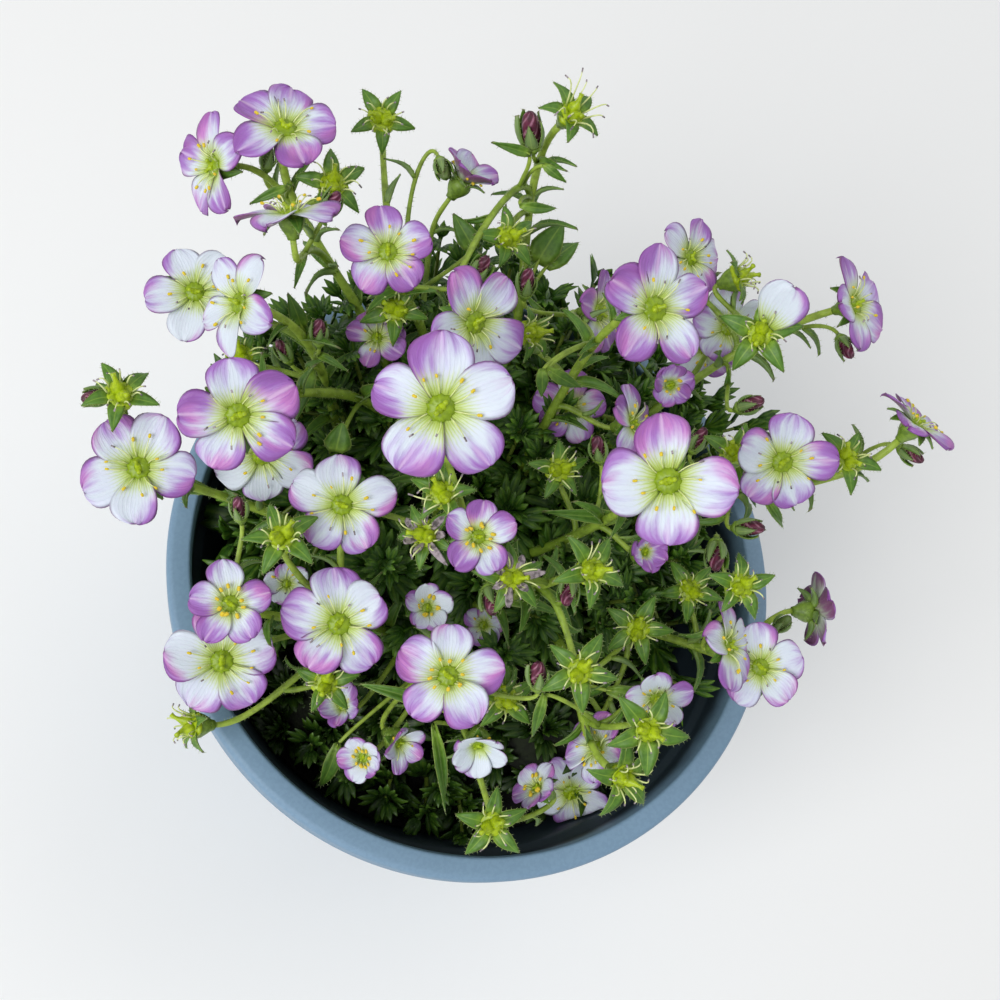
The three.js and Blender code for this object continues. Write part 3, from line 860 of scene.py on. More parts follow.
def compost_finish():
    """Damp compost of peat and bark: almost black crumbs with some brown fibre. Its near-black is darker than
    damp peat is: partly its own colour, partly painted shade of the deep hollow.
    """
    colour = bpy.context.scene.saxifrage_pot.compost
    return grained_finish("peat_compost", colour, 0.95, 2.0, "070403", 0.8, 0.8)


def pot_finish():
    """Injection-moulded polypropylene: blue-grey, satin, with a very fine moulded grain. Inside, the wall is
    painted near-black from the compost up to just under the lip, with a blotchy upper edge: painted shade."""
    material, add, _ = new_finish("moulded_polypropylene")
    spot = add("TexCoord").outputs["Object"]
    fine = add("TexNoise", spot, scale_of(0.6), 2.0)
    flow = add("TexNoise", spot, scale_of(40), 3.0)
    painted_shade_edge_noise = add("TexNoise", spot, scale_of(7), 5.0)
    level = add("SeparateXYZ", spot).outputs["Z"]
    flat = add("VectorMath", spot, (1, 1, 0), **TIMES)
    radius = add("VectorMath", flat, operation="LENGTH")
    # The painted shade lies on what is inside the tapered wall's own thickness, and inside the collar over
    # it.
    taper = add("Math", level, -POT_TAPER, radius, **TIMES_PLUS)
    wall = INSIDE_FOOT + length_of("saxifrage_pot", "wall") - 0.05
    in_wall = add("Math", taper, wall * MM, operation="LESS_THAN")
    in_collar = add("Math", radius, (COLLAR_INSIDE + 0.5) * MM, operation="LESS_THAN")
    over_ledge = add("Math", level, (RIM - COLLAR_DEPTH - 0.4) * MM, operation="GREATER_THAN")
    within = add("Math", in_wall, add("Math", in_collar, over_ledge, **TIMES), operation="MAXIMUM")
    depth = add("Math", painted_shade_edge_noise, 5 * MM, level, **TIMES_PLUS)
    colour = lay_colours(add, bpy.context.scene.saxifrage_pot.plastic, [
        (add("MapRange", flow, 0.4, 0.65, **SMOOTH), 0.15, "84A2BC"),
        (add("MapRange", fine, 0.6, 0.4, **SMOOTH), 0.12, "4F6C86"),
        # Painted shade: near-black over the inside wall, fading out with a blotchy edge just under the lip.
        (within, add("MapRange", depth, (RIM + 2.2) * MM, (RIM - 6) * MM, **SMOOTH), 0.93, "10191C"),
    ])
    roughness = add("MapRange", flow, 0.3, 0.7, 0.48, 0.6, **SMOOTH)
    return close_finish(material, colour, roughness, fine, 0.12, 0.05)


def floor_finish():
    """Seamless paper: pale and matt, so that only a soft shadow shows."""
    material, _, _ = new_finish("studio_paper")
    return close_finish(material, bpy.context.scene.saxifrage_stage.floor, 0.9)


MAKERS = {
    "petal": petal_finish,
    "ovary": ovary_finish,
    "filament": filament_finish,
    "anther": anther_finish,
    "withered": withered_finish,
    "cup": cup_finish,
    "sepal": sepal_finish,
    "stalk": stalk_finish,
    "leaf": leaf_finish,
    "bud": bud_finish,
    "hair": hair_finish,
    "litter": litter_finish,
    "compost": compost_finish,
    "pot": pot_finish,
    "floor": floor_finish,
}


@functools.cache
def finish_of(name):
    """Each finish is made once, when a piece first asks for it."""
    return MAKERS[name]()


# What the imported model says.


def box_of(node):
    """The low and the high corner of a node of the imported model, in mm."""
    return [np.array(corner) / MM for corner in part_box(node)]


def corners_of(node):
    """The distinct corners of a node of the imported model, in mm."""
    points = np.array([v.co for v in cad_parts[node].data.vertices], float) / MM
    return np.unique(np.round(points, 3), axis=0)


def read_head(node):
    """Where a head sits, read from its solid, with its span and the number of its petals or sepals."""
    points = corners_of(node)
    reach = np.linalg.norm(points - points.mean(0), axis=1)
    tips = points[reach > 0.9 * reach.max()]
    middle = tips.mean(0)
    axis = np.linalg.svd(tips - middle)[2][2]
    heights = (points - middle) @ axis
    if heights.max() > -heights.min():
        axis, heights = -axis, -heights
    foot = middle + axis * heights.min()
    arms = tips - middle - np.outer((tips - middle) @ axis, axis)
    span = 2 * np.linalg.norm(arms, axis=1).max()
    ways = unit(arms)
    lobe = ways @ ways[0] > math.cos(math.radians(40))
    stance = Stance(foot + axis * RECEPTACLE_DEPTH, unit(ways[lobe].mean(0)), axis)
    return stance, span, round(len(ways) / lobe.sum())


def bezier(points, share):
    """A cubic curve through its four control points, at shares of its run."""
    share = np.atleast_1d(np.asarray(share, float))[:, None]
    a, b, c, d = points
    rest = 1 - share
    return a * rest**3 + 3 * b * rest**2 * share + 3 * c * rest * share**2 + d * share**3


def growth(start, heading, centre, facing, depth=RECEPTACLE_DEPTH):
    """Control points of a stem that leaves start along heading and comes up under a flower."""
    end = centre - facing * (depth + CLEAR)
    length = np.linalg.norm(end - start)
    return np.array([start, start + heading * RISE * length, end - facing * REACH * length, end])


def stem_heads():
    """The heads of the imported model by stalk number, each as its name."""
    groups = {}
    for name in sorted(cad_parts, key=lambda n: n.split("_")[-1]):
        if name.startswith(("open_flower", "spent_flower")):
            groups.setdefault(name.split("_")[-1][:2], []).append(name)
    return groups


def read_stalks():
    """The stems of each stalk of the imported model, the main one first: control points, radius, head."""
    stalks = {}
    for number, heads in stem_heads().items():
        points = corners_of("flower_stalk_" + number)
        lowest = points[points[:, 2].argmin()]
        near = np.linalg.norm(points - lowest, axis=1) < 2.1 * STALK_RADIUS
        root = points[near].mean(0)
        heading = unit(np.array([*unit(root[:2]) * OUTWARD, 1.0]))
        stance = read_head(heads[0])[0]
        main = growth(root, heading, stance.centre, stance.facing)
        stems = [(main, STALK_RADIUS, heads[0])]
        for head in heads[1:]:
            fork = LOW_FORKS.get(head, FORKS[head[-1]])
            start = bezier(main, fork)[0]
            ahead = unit(bezier(main, fork + 0.01)[0] - start)
            stance = read_head(head)[0]
            stems.append((growth(start, ahead, stance.centre, stance.facing), BRANCH_RADIUS, head))
        stalks[number] = stems
    return stalks


STALKS = read_stalks()


# Parts of the plant.


def petal_outline(along, slim):
    """Half the width of a petal, 1 at its widest: a narrow foot and a broad round end."""
    widest = 0.63 - 0.08 * slim
    foot = 0.34 + 0.66 * np.sin(np.clip(along / widest, 0, 1) * math.pi / 2) ** 1.15
    end = np.clip(1 - (np.clip(along - widest, 0, 1) / (1 - widest)) ** 2.5, 0, 1) ** 0.55
    return foot * np.maximum(end, 0.05)


PETAL_ROWS = 14
PETAL_COLUMNS = 11


def petal_solid(length, width, rng, bend=0.1, slim=0.0):
    """A petal that runs out along x from its foot, as a thin solid."""
    steps = np.linspace(0, 1, PETAL_ROWS)
    along = np.sin(steps * math.pi / 2) ** 1.2
    aside = np.linspace(-1, 1, PETAL_COLUMNS)
    aside = np.sign(aside) * np.abs(aside) ** 0.82
    v, u = np.meshgrid(along, aside, indexing="ij")
    notch = rng.uniform(-0.025, 0.06)
    skew = rng.uniform(-0.05, 0.05)
    ripple = rng.uniform(0.015, 0.045)
    phase = rng.uniform(0, 6.3)
    curl = rng.uniform(0.05, 0.15)
    fold = rng.uniform(-0.25, 0.25)
    outline = petal_outline(v, slim) * (1 + 0.055 * np.sin(5 * v + phase) * np.sign(u))
    x = length * v * (1 - notch * np.exp(-((outline * u / 0.35) ** 2)) * v**6)
    y = width / 2 * outline * u + length * skew * v**2
    z = length * (0.26 * v**0.9 - bend * v**2)
    z += length * curl * u**2 * np.sin(v * math.pi) ** 0.7
    z -= length * 0.07 * u**2 * v**4
    z += length * ripple * np.sin(2.6 * u * math.pi + phase) * v**2
    z -= length * 0.02 * np.exp(-((u / 0.16) ** 2)) * np.sin(v * math.pi)
    z += length * fold * 0.3 * u * v**2
    grid = np.stack([x, y, z], -1)
    place = np.stack([u, v, np.zeros_like(u)], -1)
    return thin_sheet(grid, length_of("saxifrage_petal", "thickness"), place)


def turned_about_z(points, angle):
    """Points turned about z, so that what runs out along x points the way of the angle."""
    c, s = math.cos(angle), math.sin(angle)
    return points @ np.array([[c, s, 0], [-s, c, 0], [0, 0, 1]])


def tipped_up(points, angle):
    """Points turned about y, so that what runs out along x rises."""
    c, s = math.cos(angle), math.sin(angle)
    return points @ np.array([[c, 0, s], [0, 1, 0], [-s, 0, c]])


def add_petal(piece, stance, angle, length, width, foot, tilt, lilac, seed, rng, finish="petal", **form):
    """One petal of a head, its foot that far from the middle, with its share of lilac and its own pattern."""
    points, faces, place = petal_solid(length, width, rng, **form)
    twist = rng.uniform(0.04, 0.12)
    c, s = math.cos(twist), math.sin(twist)
    points = points @ np.array([[1, 0, 0], [0, c, s], [0, -s, c]])
    points = tipped_up(points, tilt) + [foot, 0, 0]
    tint = rim_tint(place, 0.7, lilac, seed)
    piece.add((stance.out(turned_about_z(points, angle)), faces, place), finish, tint)


def add_along(piece, stance, path, wide, high, section, finish, tint=(0, 0, 0), hint=(0, 0, 1)):
    """A loft in a head's own frame."""
    points, faces, place = loft(path, wide, high, section, hint)
    piece.add((stance.out(points), faces, place), finish, tint)


def add_horn(piece, stance, path, wide, finish, shade=0.0):
    """A small round body along a path, its section no wider at any point than given."""
    add_along(piece, stance, path, wide, wide, round_section(8), finish, (shade, 0, 0), hint=(0, 1, 0))


def add_ovary(piece, stance, radius, rng):
    """The olive dome in the middle of an open flower, with two short styles and their stigmas."""
    steps = np.linspace(0, math.pi, 9)
    path = np.stack([0 * steps, 0 * steps, radius * (0.12 - 0.34 * np.cos(steps))], 1)
    swell = radius * np.sin(steps) ** 0.8
    section = round_section(40, 10, 0.09)
    add_along(piece, stance, path, swell, swell, section, "ovary", (0.8, 0, 0), hint=(0, 1, 0))
    angle = rng.uniform(0, math.pi)
    for side in (-1, 1):
        out = side * round_pot(angle)
        run = np.linspace(0, 1, 6)[:, None]
        path = out * radius * (0.16 + 0.42 * run**1.6) + UP * radius * (0.4 + 0.55 * run)
        add_horn(piece, stance, path, radius * np.array([0.34, 0.27, 0.2, 0.15, 0.2, 0.16]), "ovary", 0.1)


def add_vessel(piece, stance, radius, rng, horn=1.0):
    """The swollen seed vessel of a spent flower: two plump halves that run out in horns, on a shiny disc."""
    steps = np.linspace(0, math.pi, 8)
    path = np.stack([0 * steps, 0 * steps, -0.4 - radius * 0.36 * np.cos(steps)], 1)
    swell = 1.25 * radius * np.sin(steps) ** 0.6
    add_along(piece, stance, path, swell, swell, round_section(20, 5, 0.09), "ovary", hint=(0, 1, 0))
    angle = rng.uniform(0, math.pi)
    for side in (-1, 1):
        out = side * round_pot(angle)
        run = np.linspace(0, 1, 9)[:, None]
        path = out * radius * (0.42 + 0.1 * run + 0.55 * run**4) + UP * radius * (-0.1 + 1.75 * horn * run)
        wide = radius * np.array([0.3, 0.56, 0.6, 0.54, 0.4, 0.26, 0.19, 0.16, 0.24])
        add_horn(piece, stance, path, wide, "ovary")


def add_stamens(piece, stance, count, start, reach, lift, gold, rng, wither=0.0, fat=1.0, thread=0.12):
    """Stamens that start beside the ovary and lean out over the petals; some have dropped their anther."""
    for k in range(count):
        angle = (k + rng.uniform(-0.3, 0.3)) * 2 * math.pi / count
        far = reach * rng.uniform(0.7, 1.12)
        high = lift * rng.uniform(0.6, 1.2)
        run = np.linspace(0, 1, 6)[:, None]
        sway = rng.uniform(-0.25, 0.25) * (far - start + 1) * (1 + 2.5 * wither)
        path = np.hstack([
            start + (far - start) * run,
            sway * run**2,
            0.3 + high * np.sin(run * math.pi * 0.62) - wither * 0.6 * run**3,
        ])
        path = turned_about_z(path, angle)
        wide = np.linspace(thread, 0.55 * thread, 6)
        add_along(piece, stance, path, wide, wide, round_section(4), "filament", hint=(0, 1, 0))
        if rng.uniform() < gold:
            size = rng.uniform(0.36, 0.52) * fat
            along = unit(path[-1] - path[-2]) + [0, 0, 0.4]
            tip = path[-1] + np.linspace(-0.5, 0.9, 5)[:, None] * along * size
            wide = np.array([0.4, 0.78, 0.66, 0.78, 0.4]) * size * 0.75
            add_along(piece, stance, tip, wide, wide * 0.85, round_section(6), "anther", hint=(0, 1, 0))
        else:
            add_horn(piece, stance, path[-2:] + (path[-1] - path[-2]) * 0.6, 0.13, "withered")


SEPAL_ROWS = 9
SEPAL_COLUMNS = 5


def sepal_grid(length, width, rng, droop, bulge, base, cupped):
    """A pointed sepal or bract that runs out along x, its edges raised as far as it is cupped."""
    steps = np.linspace(0, 1, SEPAL_ROWS)
    along = np.sin(steps * math.pi / 2) ** 1.1
    v, u = np.meshgrid(along, np.linspace(-1, 1, SEPAL_COLUMNS), indexing="ij")
    swell = base + (1 - base) * np.sin(np.clip(v / 0.38, 0, 1) * math.pi / 2)
    outline = swell * (1 - v**2.1) ** 0.95 + 0.02
    twist = rng.uniform(-0.25, 0.25)
    x = length * v
    y = width / 2 * outline * u + length * rng.uniform(-0.12, 0.12) * v**2
    z = length * (cupped * np.abs(u) ** 1.5 * outline + twist * 0.3 * u * v - droop * v**2)
    z += length * bulge * np.sin(v * math.pi)
    return np.stack([x, y, z], -1), np.stack([u, v, np.zeros_like(u)], -1)


def add_sepal(piece, stance, angle, length, width, foot, tilt, rng, droop=0.1, bulge=0.1, hairs=6,
              shade=0.0, low=0.0, base=0.62, cupped=0.13):
    """A sepal or bract with hairs along both its edges."""
    grid, place = sepal_grid(length, width, rng, droop, bulge, base, cupped)
    grid = tipped_up(grid.reshape(-1, 3), tilt) + [foot, 0, low]
    grid = stance.out(turned_about_z(grid, angle)).reshape(SEPAL_ROWS, SEPAL_COLUMNS, 3)
    points, faces, where = thin_sheet(grid, 0.32, place)
    piece.add((points, faces, where), "sepal", rim_tint(where, 0.8, shade, rng.uniform()))
    if not hairs:
        return
    long = length_of("saxifrage_green", "hair_length")
    rows = np.linspace(1, SEPAL_ROWS - 2, hairs).astype(int)
    last = SEPAL_COLUMNS - 1
    for column, inward in ((0, 1), (last, last - 1)):
        roots = grid[rows, column]
        ways = unit(roots - grid[rows, inward]) + unit(grid[rows + 1, column] - roots) * 0.5
        ways = ways + rng.normal(0, 0.25, ways.shape)
        piece.add_hairs(roots, ways, long * rng.uniform(0.6, 1.1, len(roots)))


def add_receptacle(piece, stance, wide, depth, rng, hairs=30):
    """The green cup under a flower, down to its stem, with hairs all round."""
    steps = np.linspace(0, 1, 7)
    radii = wide * np.array([0.42, 0.5, 0.72, 0.9, 1.0, 0.98, 0.7])
    heights = -depth - CLEAR + (depth + CLEAR + 0.1) * steps
    path = np.stack([np.zeros(7), np.zeros(7), heights], 1)
    add_along(piece, stance, path, radii, radii, round_section(15, 5, 0.06), "cup", hint=(0, 1, 0))
    share = rng.uniform(0.1, 0.9, hairs)
    turn = rng.uniform(0, 2 * math.pi, hairs)
    around = np.stack([np.cos(turn), np.sin(turn), np.zeros(hairs)], 1)
    roots = around * np.interp(share, steps, radii)[:, None]
    roots[:, 2] = np.interp(share, steps, heights)
    long = length_of("saxifrage_green", "hair_length") * rng.uniform(0.5, 1.0, hairs)
    piece.add_hairs(stance.out(roots), (around + [0, 0, 0.25]) @ stance.axes, long)


def open_flower(name, stance, span, petals, looks, seed, *replaced):
    """An open flower: petals, ovary with its styles, stamens, sepals and receptacle."""
    rng = np.random.default_rng(seed)
    piece = Piece(name, "petal")
    lilac = looks.get("lilac", 0.5)
    closed = math.radians(looks.get("cup", 0))
    slim = looks.get("slim", 0.0)
    foot = 0.06 * span
    length = span / 2 - foot
    width = length * (1.0 - 0.22 * slim) * (5 / petals) ** 0.35
    for k in range(petals):
        angle = (k + rng.uniform(-0.11, 0.11)) * 2 * math.pi / petals
        size = length * looks.get("grow", 1.0) * rng.uniform(0.88, 1.04)
        add_petal(
            piece, stance, angle, size, width * rng.uniform(0.86, 1.06), foot,
            closed + rng.uniform(-0.13, 0.1), lilac + rng.uniform(-0.35, 0.35), rng.uniform(0, 40), rng,
            bend=rng.uniform(0.02, 0.24), slim=slim + rng.uniform(0, 0.5),
        )
    add_ovary(piece, stance, 0.1 * span, rng)
    gold = looks.get("gold", 0.6)
    young = gold == 1.0
    reach = (0.165 if young else 0.25) * span
    add_stamens(piece, stance, 10, 0.09 * span, reach, 0.1 * span, gold, rng, fat=1.25 if young else 1.0)
    add_receptacle(piece, stance, 1.9, RECEPTACLE_DEPTH, rng)
    for k in range(5):
        angle = (k + 0.5) * 2 * math.pi / 5
        add_sepal(piece, stance, angle, 0.26 * span, 0.17 * span, 1.2, closed - 0.1, rng, low=-0.6, hairs=5)
    return piece.make(*replaced)


def spent_flower(name, stance, span, looks, seed, *replaced):
    """A head that has dropped its petals: spread sepals round a swollen seed vessel with old stamens."""
    rng = np.random.default_rng(seed)
    piece = Piece(name, "sepal")
    foot = 1.4
    for k in range(5):
        angle = (k + rng.uniform(-0.09, 0.09)) * 2 * math.pi / 5
        length = (span / 2 - foot) * rng.uniform(0.95, 1.12)
        add_sepal(
            piece, stance, angle, length, 0.62 * length, foot, rng.uniform(-0.05, 0.3), rng,
            droop=rng.uniform(0.05, 0.35), hairs=8, low=-0.4, shade=looks.get("shade", 0.0), base=0.78,
        )
    add_vessel(piece, stance, 1.85, rng)
    curly = 1.0 if looks.get("curly") else 0.2
    spray = looks.get("spray", 1.0)
    reach, lift = 3.4 * spray, (2.2 + curly) * spray
    add_stamens(piece, stance, 10, 1.6, reach, lift, 0.0, rng, wither=curly, thread=0.17)
    add_receptacle(piece, stance, 2.0, RECEPTACLE_DEPTH, rng)
    for turn, size in looks.get("petals", []):
        way = picture_way(turn)
        angle = math.atan2(way @ stance.axes[1], way @ stance.axes[0])
        long = 9.6 * size
        add_petal(piece, stance, angle, long, long * 0.9, 1.4, 0.45, 0.0, 3.0, rng, bend=0.1)
    if looks.get("withered"):
        for k in range(7):
            add_petal(
                piece, stance, k * 0.93, rng.uniform(2.6, 3.8), 1.2, 1.2, rng.uniform(-0.2, 1.0), 0.3, k, rng,
                finish="withered", bend=rng.uniform(-0.6, 1.2), slim=1.0,
            )
    return piece.make(*replaced)


BUD_CUP = 1.3  # depth of the cup under a bud, mm


def bud(name, looks, seed):
    """A closed bud: furled petals in five clasping sepals."""
    rng = np.random.default_rng(seed)
    place = place_at(looks["seen"], looks["height"])
    facing = unit(picture_way(looks["points"]) * 0.75 + unit(EYE - place) * 0.65)
    long = looks["length"]
    stance = Stance(place - facing * long * 0.4, unit(np.cross(facing, [0.2, 0.9, 0.1])), facing)
    piece = Piece(name, "sepal")
    steps = np.linspace(0, math.pi, 10)
    path = np.stack([0 * steps, 0 * steps, -0.2 + long * (1 - np.cos(steps)) / 2], 1)
    fat = 0.27 * long
    swell = fat * np.sin(steps) ** 0.8 * (1 - 0.25 * steps / math.pi)
    sides = 20
    points, faces, where = loft(path, swell, swell, round_section(sides, 5, 0.1), (0, 1, 0))
    where[:-2, 0] = np.tile(np.arange(sides) / sides, len(path))
    x, y, z = points.T
    c, s = np.cos(z / long * 0.9), np.sin(z / long * 0.9)
    points = np.stack([x * c - y * s, x * s + y * c, z], 1)
    shade = 0.85 if looks.get("green") else 0.0
    piece.add((stance.out(points), faces, where), "bud", (shade, rng.uniform(), 0))
    for k in range(5):
        angle = (k + rng.uniform(0.4, 0.6)) * 2 * math.pi / 5
        length = long * rng.uniform(0.72, 0.95)
        add_sepal(
            piece, stance, angle, length, fat * 1.4, fat * 0.86, math.radians(87), rng,
            droop=rng.uniform(-0.03, 0.1), bulge=-0.12, low=-0.3, cupped=0.07,
        )
    add_receptacle(piece, stance, fat * 0.95, BUD_CUP, rng, hairs=14)
    piece.make()
    return stance


# Stems.


def add_stem(piece, points, radius, rng, tip=0.72, shade=0.0, hairy=True):
    """A round stem along control points, a little thinner at its tip, with fine hairs."""
    run = np.linspace(0, 1, 22)
    path = bezier(points, run)
    wide = radius * (1 - (1 - tip) * run) * (1 + 0.05 * np.sin(run * 23 + rng.uniform(0, 6)))
    solid = loft(path, wide, wide, round_section(8), (0.3, 0.8, 0.2))
    piece.add(solid, "stalk", (shade, rng.uniform(), 0))
    if not hairy:
        return
    length = np.linalg.norm(np.diff(path, axis=0), axis=1).sum()
    count = int(length * 4)
    share = rng.uniform(0.02, 0.98, count)
    spots = bezier(points, share)
    ahead = unit(bezier(points, np.minimum(share + 0.01, 1)) - bezier(points, share - 0.01))
    around = unit(np.cross(ahead, rng.normal(size=(count, 3))))
    long = length_of("saxifrage_green", "hair_length") * rng.uniform(0.5, 1.15, count)
    roots = spots + around * (np.interp(share, run, wide) * 0.95)[:, None]
    piece.add_hairs(roots, around + ahead * 0.3, long)


def add_bract(piece, place, ahead, length, rng, shade=0.0):
    """A narrow leaf on a stem, where it leaves or forks."""
    side = unit(np.cross(ahead, rng.normal(size=3)))
    out = unit(side * 0.85 + ahead * 0.5)
    stance = Stance(place, out, unit(np.cross(np.cross(out, ahead), out)))
    droop = rng.uniform(0.0, 0.3)
    add_sepal(piece, stance, 0, length, length * 0.27, 0.3, 0.0, rng, droop=droop, shade=shade)


def stalk_piece(number):
    """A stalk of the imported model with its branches, its bracts and its hairs."""
    rng = np.random.default_rng(100 + int(number))
    piece = Piece("stalk_" + number, "stalk")
    stems = STALKS[number]
    for points, radius, _ in stems:
        add_stem(piece, points, radius, rng)
    main = stems[0][0]
    for points, _, _ in stems[1:]:
        for _ in range(2):
            place = points[0]
            ahead = unit(points[1] - points[0])
            add_bract(piece, place + ahead * rng.uniform(-0.5, 0.8), ahead, rng.uniform(5.5, 8.5), rng)
        middle = bezier(points, 0.45)[0]
        add_bract(piece, middle, unit(bezier(points, 0.5)[0] - middle), rng.uniform(4, 6), rng)
    for share in np.arange(0.12, 0.9, 0.13) + rng.uniform(-0.03, 0.03, 6):
        place = bezier(main, share)[0]
        ahead = unit(bezier(main, share + 0.02)[0] - place)
        add_bract(piece, place, ahead, rng.uniform(7, 11) * (1.1 - 0.6 * share), rng, shade=0.3 * (1 - share))
    piece.make("flower_stalk_" + number)


def carrier_of(place):
    """The point of the nearest stem that lies well below a place, and the stem's way there, or a spot on the
    leafy mat."""
    share = np.linspace(0.12, 0.85, 14)
    best = None
    for stems in STALKS.values():
        for points, _, _ in stems:
            path = bezier(points, share)
            gap = np.linalg.norm(path - place, axis=1) + 3 * np.clip(path[:, 2] - place[2] + 7, 0, None)
            k = gap.argmin()
            if best is None or gap[k] < best[0]:
                ahead = unit(bezier(points, share[k] + 0.01)[0] - path[k])
                best = (gap[k], path[k], ahead)
    inner = place[:2] * 0.72
    ground = mat_under(*inner)
    if ground is None:
        inner = place[:2] * 0.5
        ground = mat_under(*inner)
    if ground is not None and ground < place[2] - 4:
        spot = np.array([*inner, ground - 2])
        if np.linalg.norm(spot - place) < best[0]:
            best = (0, spot, unit(np.array([*unit(inner) * OUTWARD, 1.0])))
    return best[1], best[2]


def add_carrying_stem(piece, stance, rng, looks, radius=0.55, shade=0.1, depth=RECEPTACLE_DEPTH):
    """A stem from what is nearest below up to a head, by way of its own bend if it has one."""
    bend = looks.get("bend")
    through = place_at(*bend) if bend else stance.centre
    start, ahead = carrier_of(through)
    points = growth(start, ahead, stance.centre, stance.facing, depth)
    if bend:
        points[1] = through + (through - points[3]) * 0.5
    add_stem(piece, points, radius, rng, shade=shade)
    place = bezier(points, 0.5)[0]
    add_bract(piece, place, unit(bezier(points, 0.55)[0] - place), rng.uniform(4.5, 7), rng, shade=shade)


# Leaves.


LEAF_RINGS = 4
THIN_STEM = 0.42  # radius of the stem of a shoot or of a lone leaf, mm
FINGERS = {
    3: [(0, 1.0), (-0.62, 0.8), (0.62, 0.8)],
    5: [(0, 1.0), (-0.48, 0.88), (0.48, 0.88), (-0.98, 0.62), (0.98, 0.62)],
}


def leaf_kind(fingers, rng):
    """One lobed leaf that runs out along x from its foot and faces up z: a flat leafstalk that widens into
    three or five fingers."""
    blade = rng.uniform(0.32, 0.44)
    arch = rng.uniform(0.04, 0.2)
    run = np.linspace(0, 1, LEAF_RINGS)

    def lie(x, y):
        return np.stack([x, y, arch * np.sin(np.clip(x, 0, 1.1) * 2.5)], -1)

    stalk = lie(run * (blade + 0.08), 0 * run)
    solids = [(loft(stalk, np.interp(run, [0, 0.6, 1], [0.05, 0.06, 0.13]), 0.03, LOBE_SECTION), 0.5)]
    for angle, size in FINGERS[fingers]:
        angle += rng.uniform(-0.12, 0.12)
        reach = (1 - blade) * size * rng.uniform(0.88, 1.12)
        start = blade * (1 - 0.16 * abs(angle))
        x = start + reach * run * np.cos(angle * (1 - 0.35 * run))
        y = reach * run * np.sin(angle * (1 - 0.35 * run))
        wide = 0.076 * (0.85 + 0.4 * size) * np.array([0.85, 1.15, 0.95, 0.12])
        solids.append((loft(lie(x, y), wide, wide * 0.45, LOBE_SECTION), 1.0))
    points = np.vstack([solid[0] for solid, _ in solids])
    place = np.vstack([solid[2] * [1, bright, 1] for solid, bright in solids])
    faces = []
    count = 0
    for solid, _ in solids:
        faces += [[i + count for i in face] for face in solid[1]]
        count += len(solid[0])
    return points, faces, place


def add_leaf(piece, kind, foot, out, up, size, tint):
    """A leaf from its foot that runs out along one way and faces up another."""
    points, faces, place = kind
    side = np.cross(up, out)
    axes = np.array([out, side, up])
    piece.add((foot + (points * size) @ axes, faces, place), "leaf", tint)


def spread(axis, turn, rise):
    """The way a leaf runs out from an axis, at a turn round it and a rise along it, and the way it faces."""
    side = unit(np.cross(axis, [0.2, 0.97, 0.1]))
    around = side * math.cos(turn) + np.cross(axis, side) * math.sin(turn)
    out = unit(around * math.cos(rise) + axis * math.sin(rise))
    return out, unit(axis * math.cos(rise) - around * math.sin(rise))


def add_rosette(piece, kinds, middle, axis, size, count, rng, shade):
    """Leaves round a shoot: outer ones lie flatter and longer, inner ones stand up."""
    first = rng.uniform(0, 2 * math.pi)
    for k in range(count):
        share = (k + 0.5) / count
        rise = math.radians(78 - 66 * share + rng.uniform(-8, 8))
        out, up = spread(axis, first + k * GOLDEN, rise)
        up = unit(up + np.cross(out, up) * rng.uniform(-0.3, 0.3))
        long = size * (0.5 + 0.5 * share) * rng.uniform(0.88, 1.12)
        kind = kinds[rng.integers(len(kinds))]
        dark = np.clip(shade + 0.22 * share + rng.uniform(-0.1, 0.1), 0, 0.9)
        add_leaf(piece, kind, middle - axis * 1.2 * share, out, up, long, (dark, rng.uniform(0.3, 1.0), 0))


def add_shoot(piece, kinds, root, tip, rng, leaves, size, shade, facing=UP):
    """A leafy shoot: a short dull stem out of the mat, leaves all the way up and a tuft at its tip."""
    length = np.linalg.norm(tip - root)
    points = np.array([root, root + UP * 0.45 * length, tip - facing * 0.3 * length, tip])
    add_stem(piece, points, THIN_STEM, rng, shade=max(shade, 0.75), hairy=False)
    first = rng.uniform(0, 2 * math.pi)
    for k in range(leaves):
        share = 0.2 + 0.8 * k / (leaves - 1)
        place = bezier(points, share)[0]
        ahead = unit(place - bezier(points, share - 0.04)[0])
        rise = math.radians(12 + 50 * share**2 + rng.uniform(-12, 12))
        out, up = spread(ahead, first + k * GOLDEN, rise)
        kind = kinds[rng.integers(len(kinds))]
        dark = np.clip(shade + 0.25 * (1 - share) + rng.uniform(-0.1, 0.1), 0, 0.9)
        add_leaf(piece, kind, place, out, up, size * (1.05 - 0.4 * share), (dark, rng.uniform(0.4, 1.0), 0))


def surface_of(node):
    """A node's faces, to lay leaves on, in mm."""
    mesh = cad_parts[node].data
    points = [v.co / MM for v in mesh.vertices]
    return BVHTree.FromPolygons(points, [tuple(p.vertices) for p in mesh.polygons])


CUSHIONS = {name: surface_of(name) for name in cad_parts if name.startswith("leaf_cushion")}
COMPOST_TOP = box_of("compost")[1][2]
MIDDLE = "leaf_cushion_middle"
LITTER_SIZE = 0.86  # of the old leaves inside a cushion, against its solid
CUSHION_TRIES = 2600  # places tried at random for the rosettes of a cushion
SOIL_TRIES = 1500


def top_of(surface, x, y):
    """The highest point and its normal of a surface at a place, or None beside it."""
    hit, normal, _, _ = surface.ray_cast(Vector((x, y, 2 * RIM)), Vector((0, 0, -1)))
    if hit is None:
        return None
    normal = np.array(normal)
    return np.array(hit), normal if normal[2] > 0 else -normal


def mat_under(x, y):
    """The height of the leafy mat at a place, or None beside it."""
    top = top_of(CUSHIONS[MIDDLE], x, y)
    return None if top is None else top[0][2]


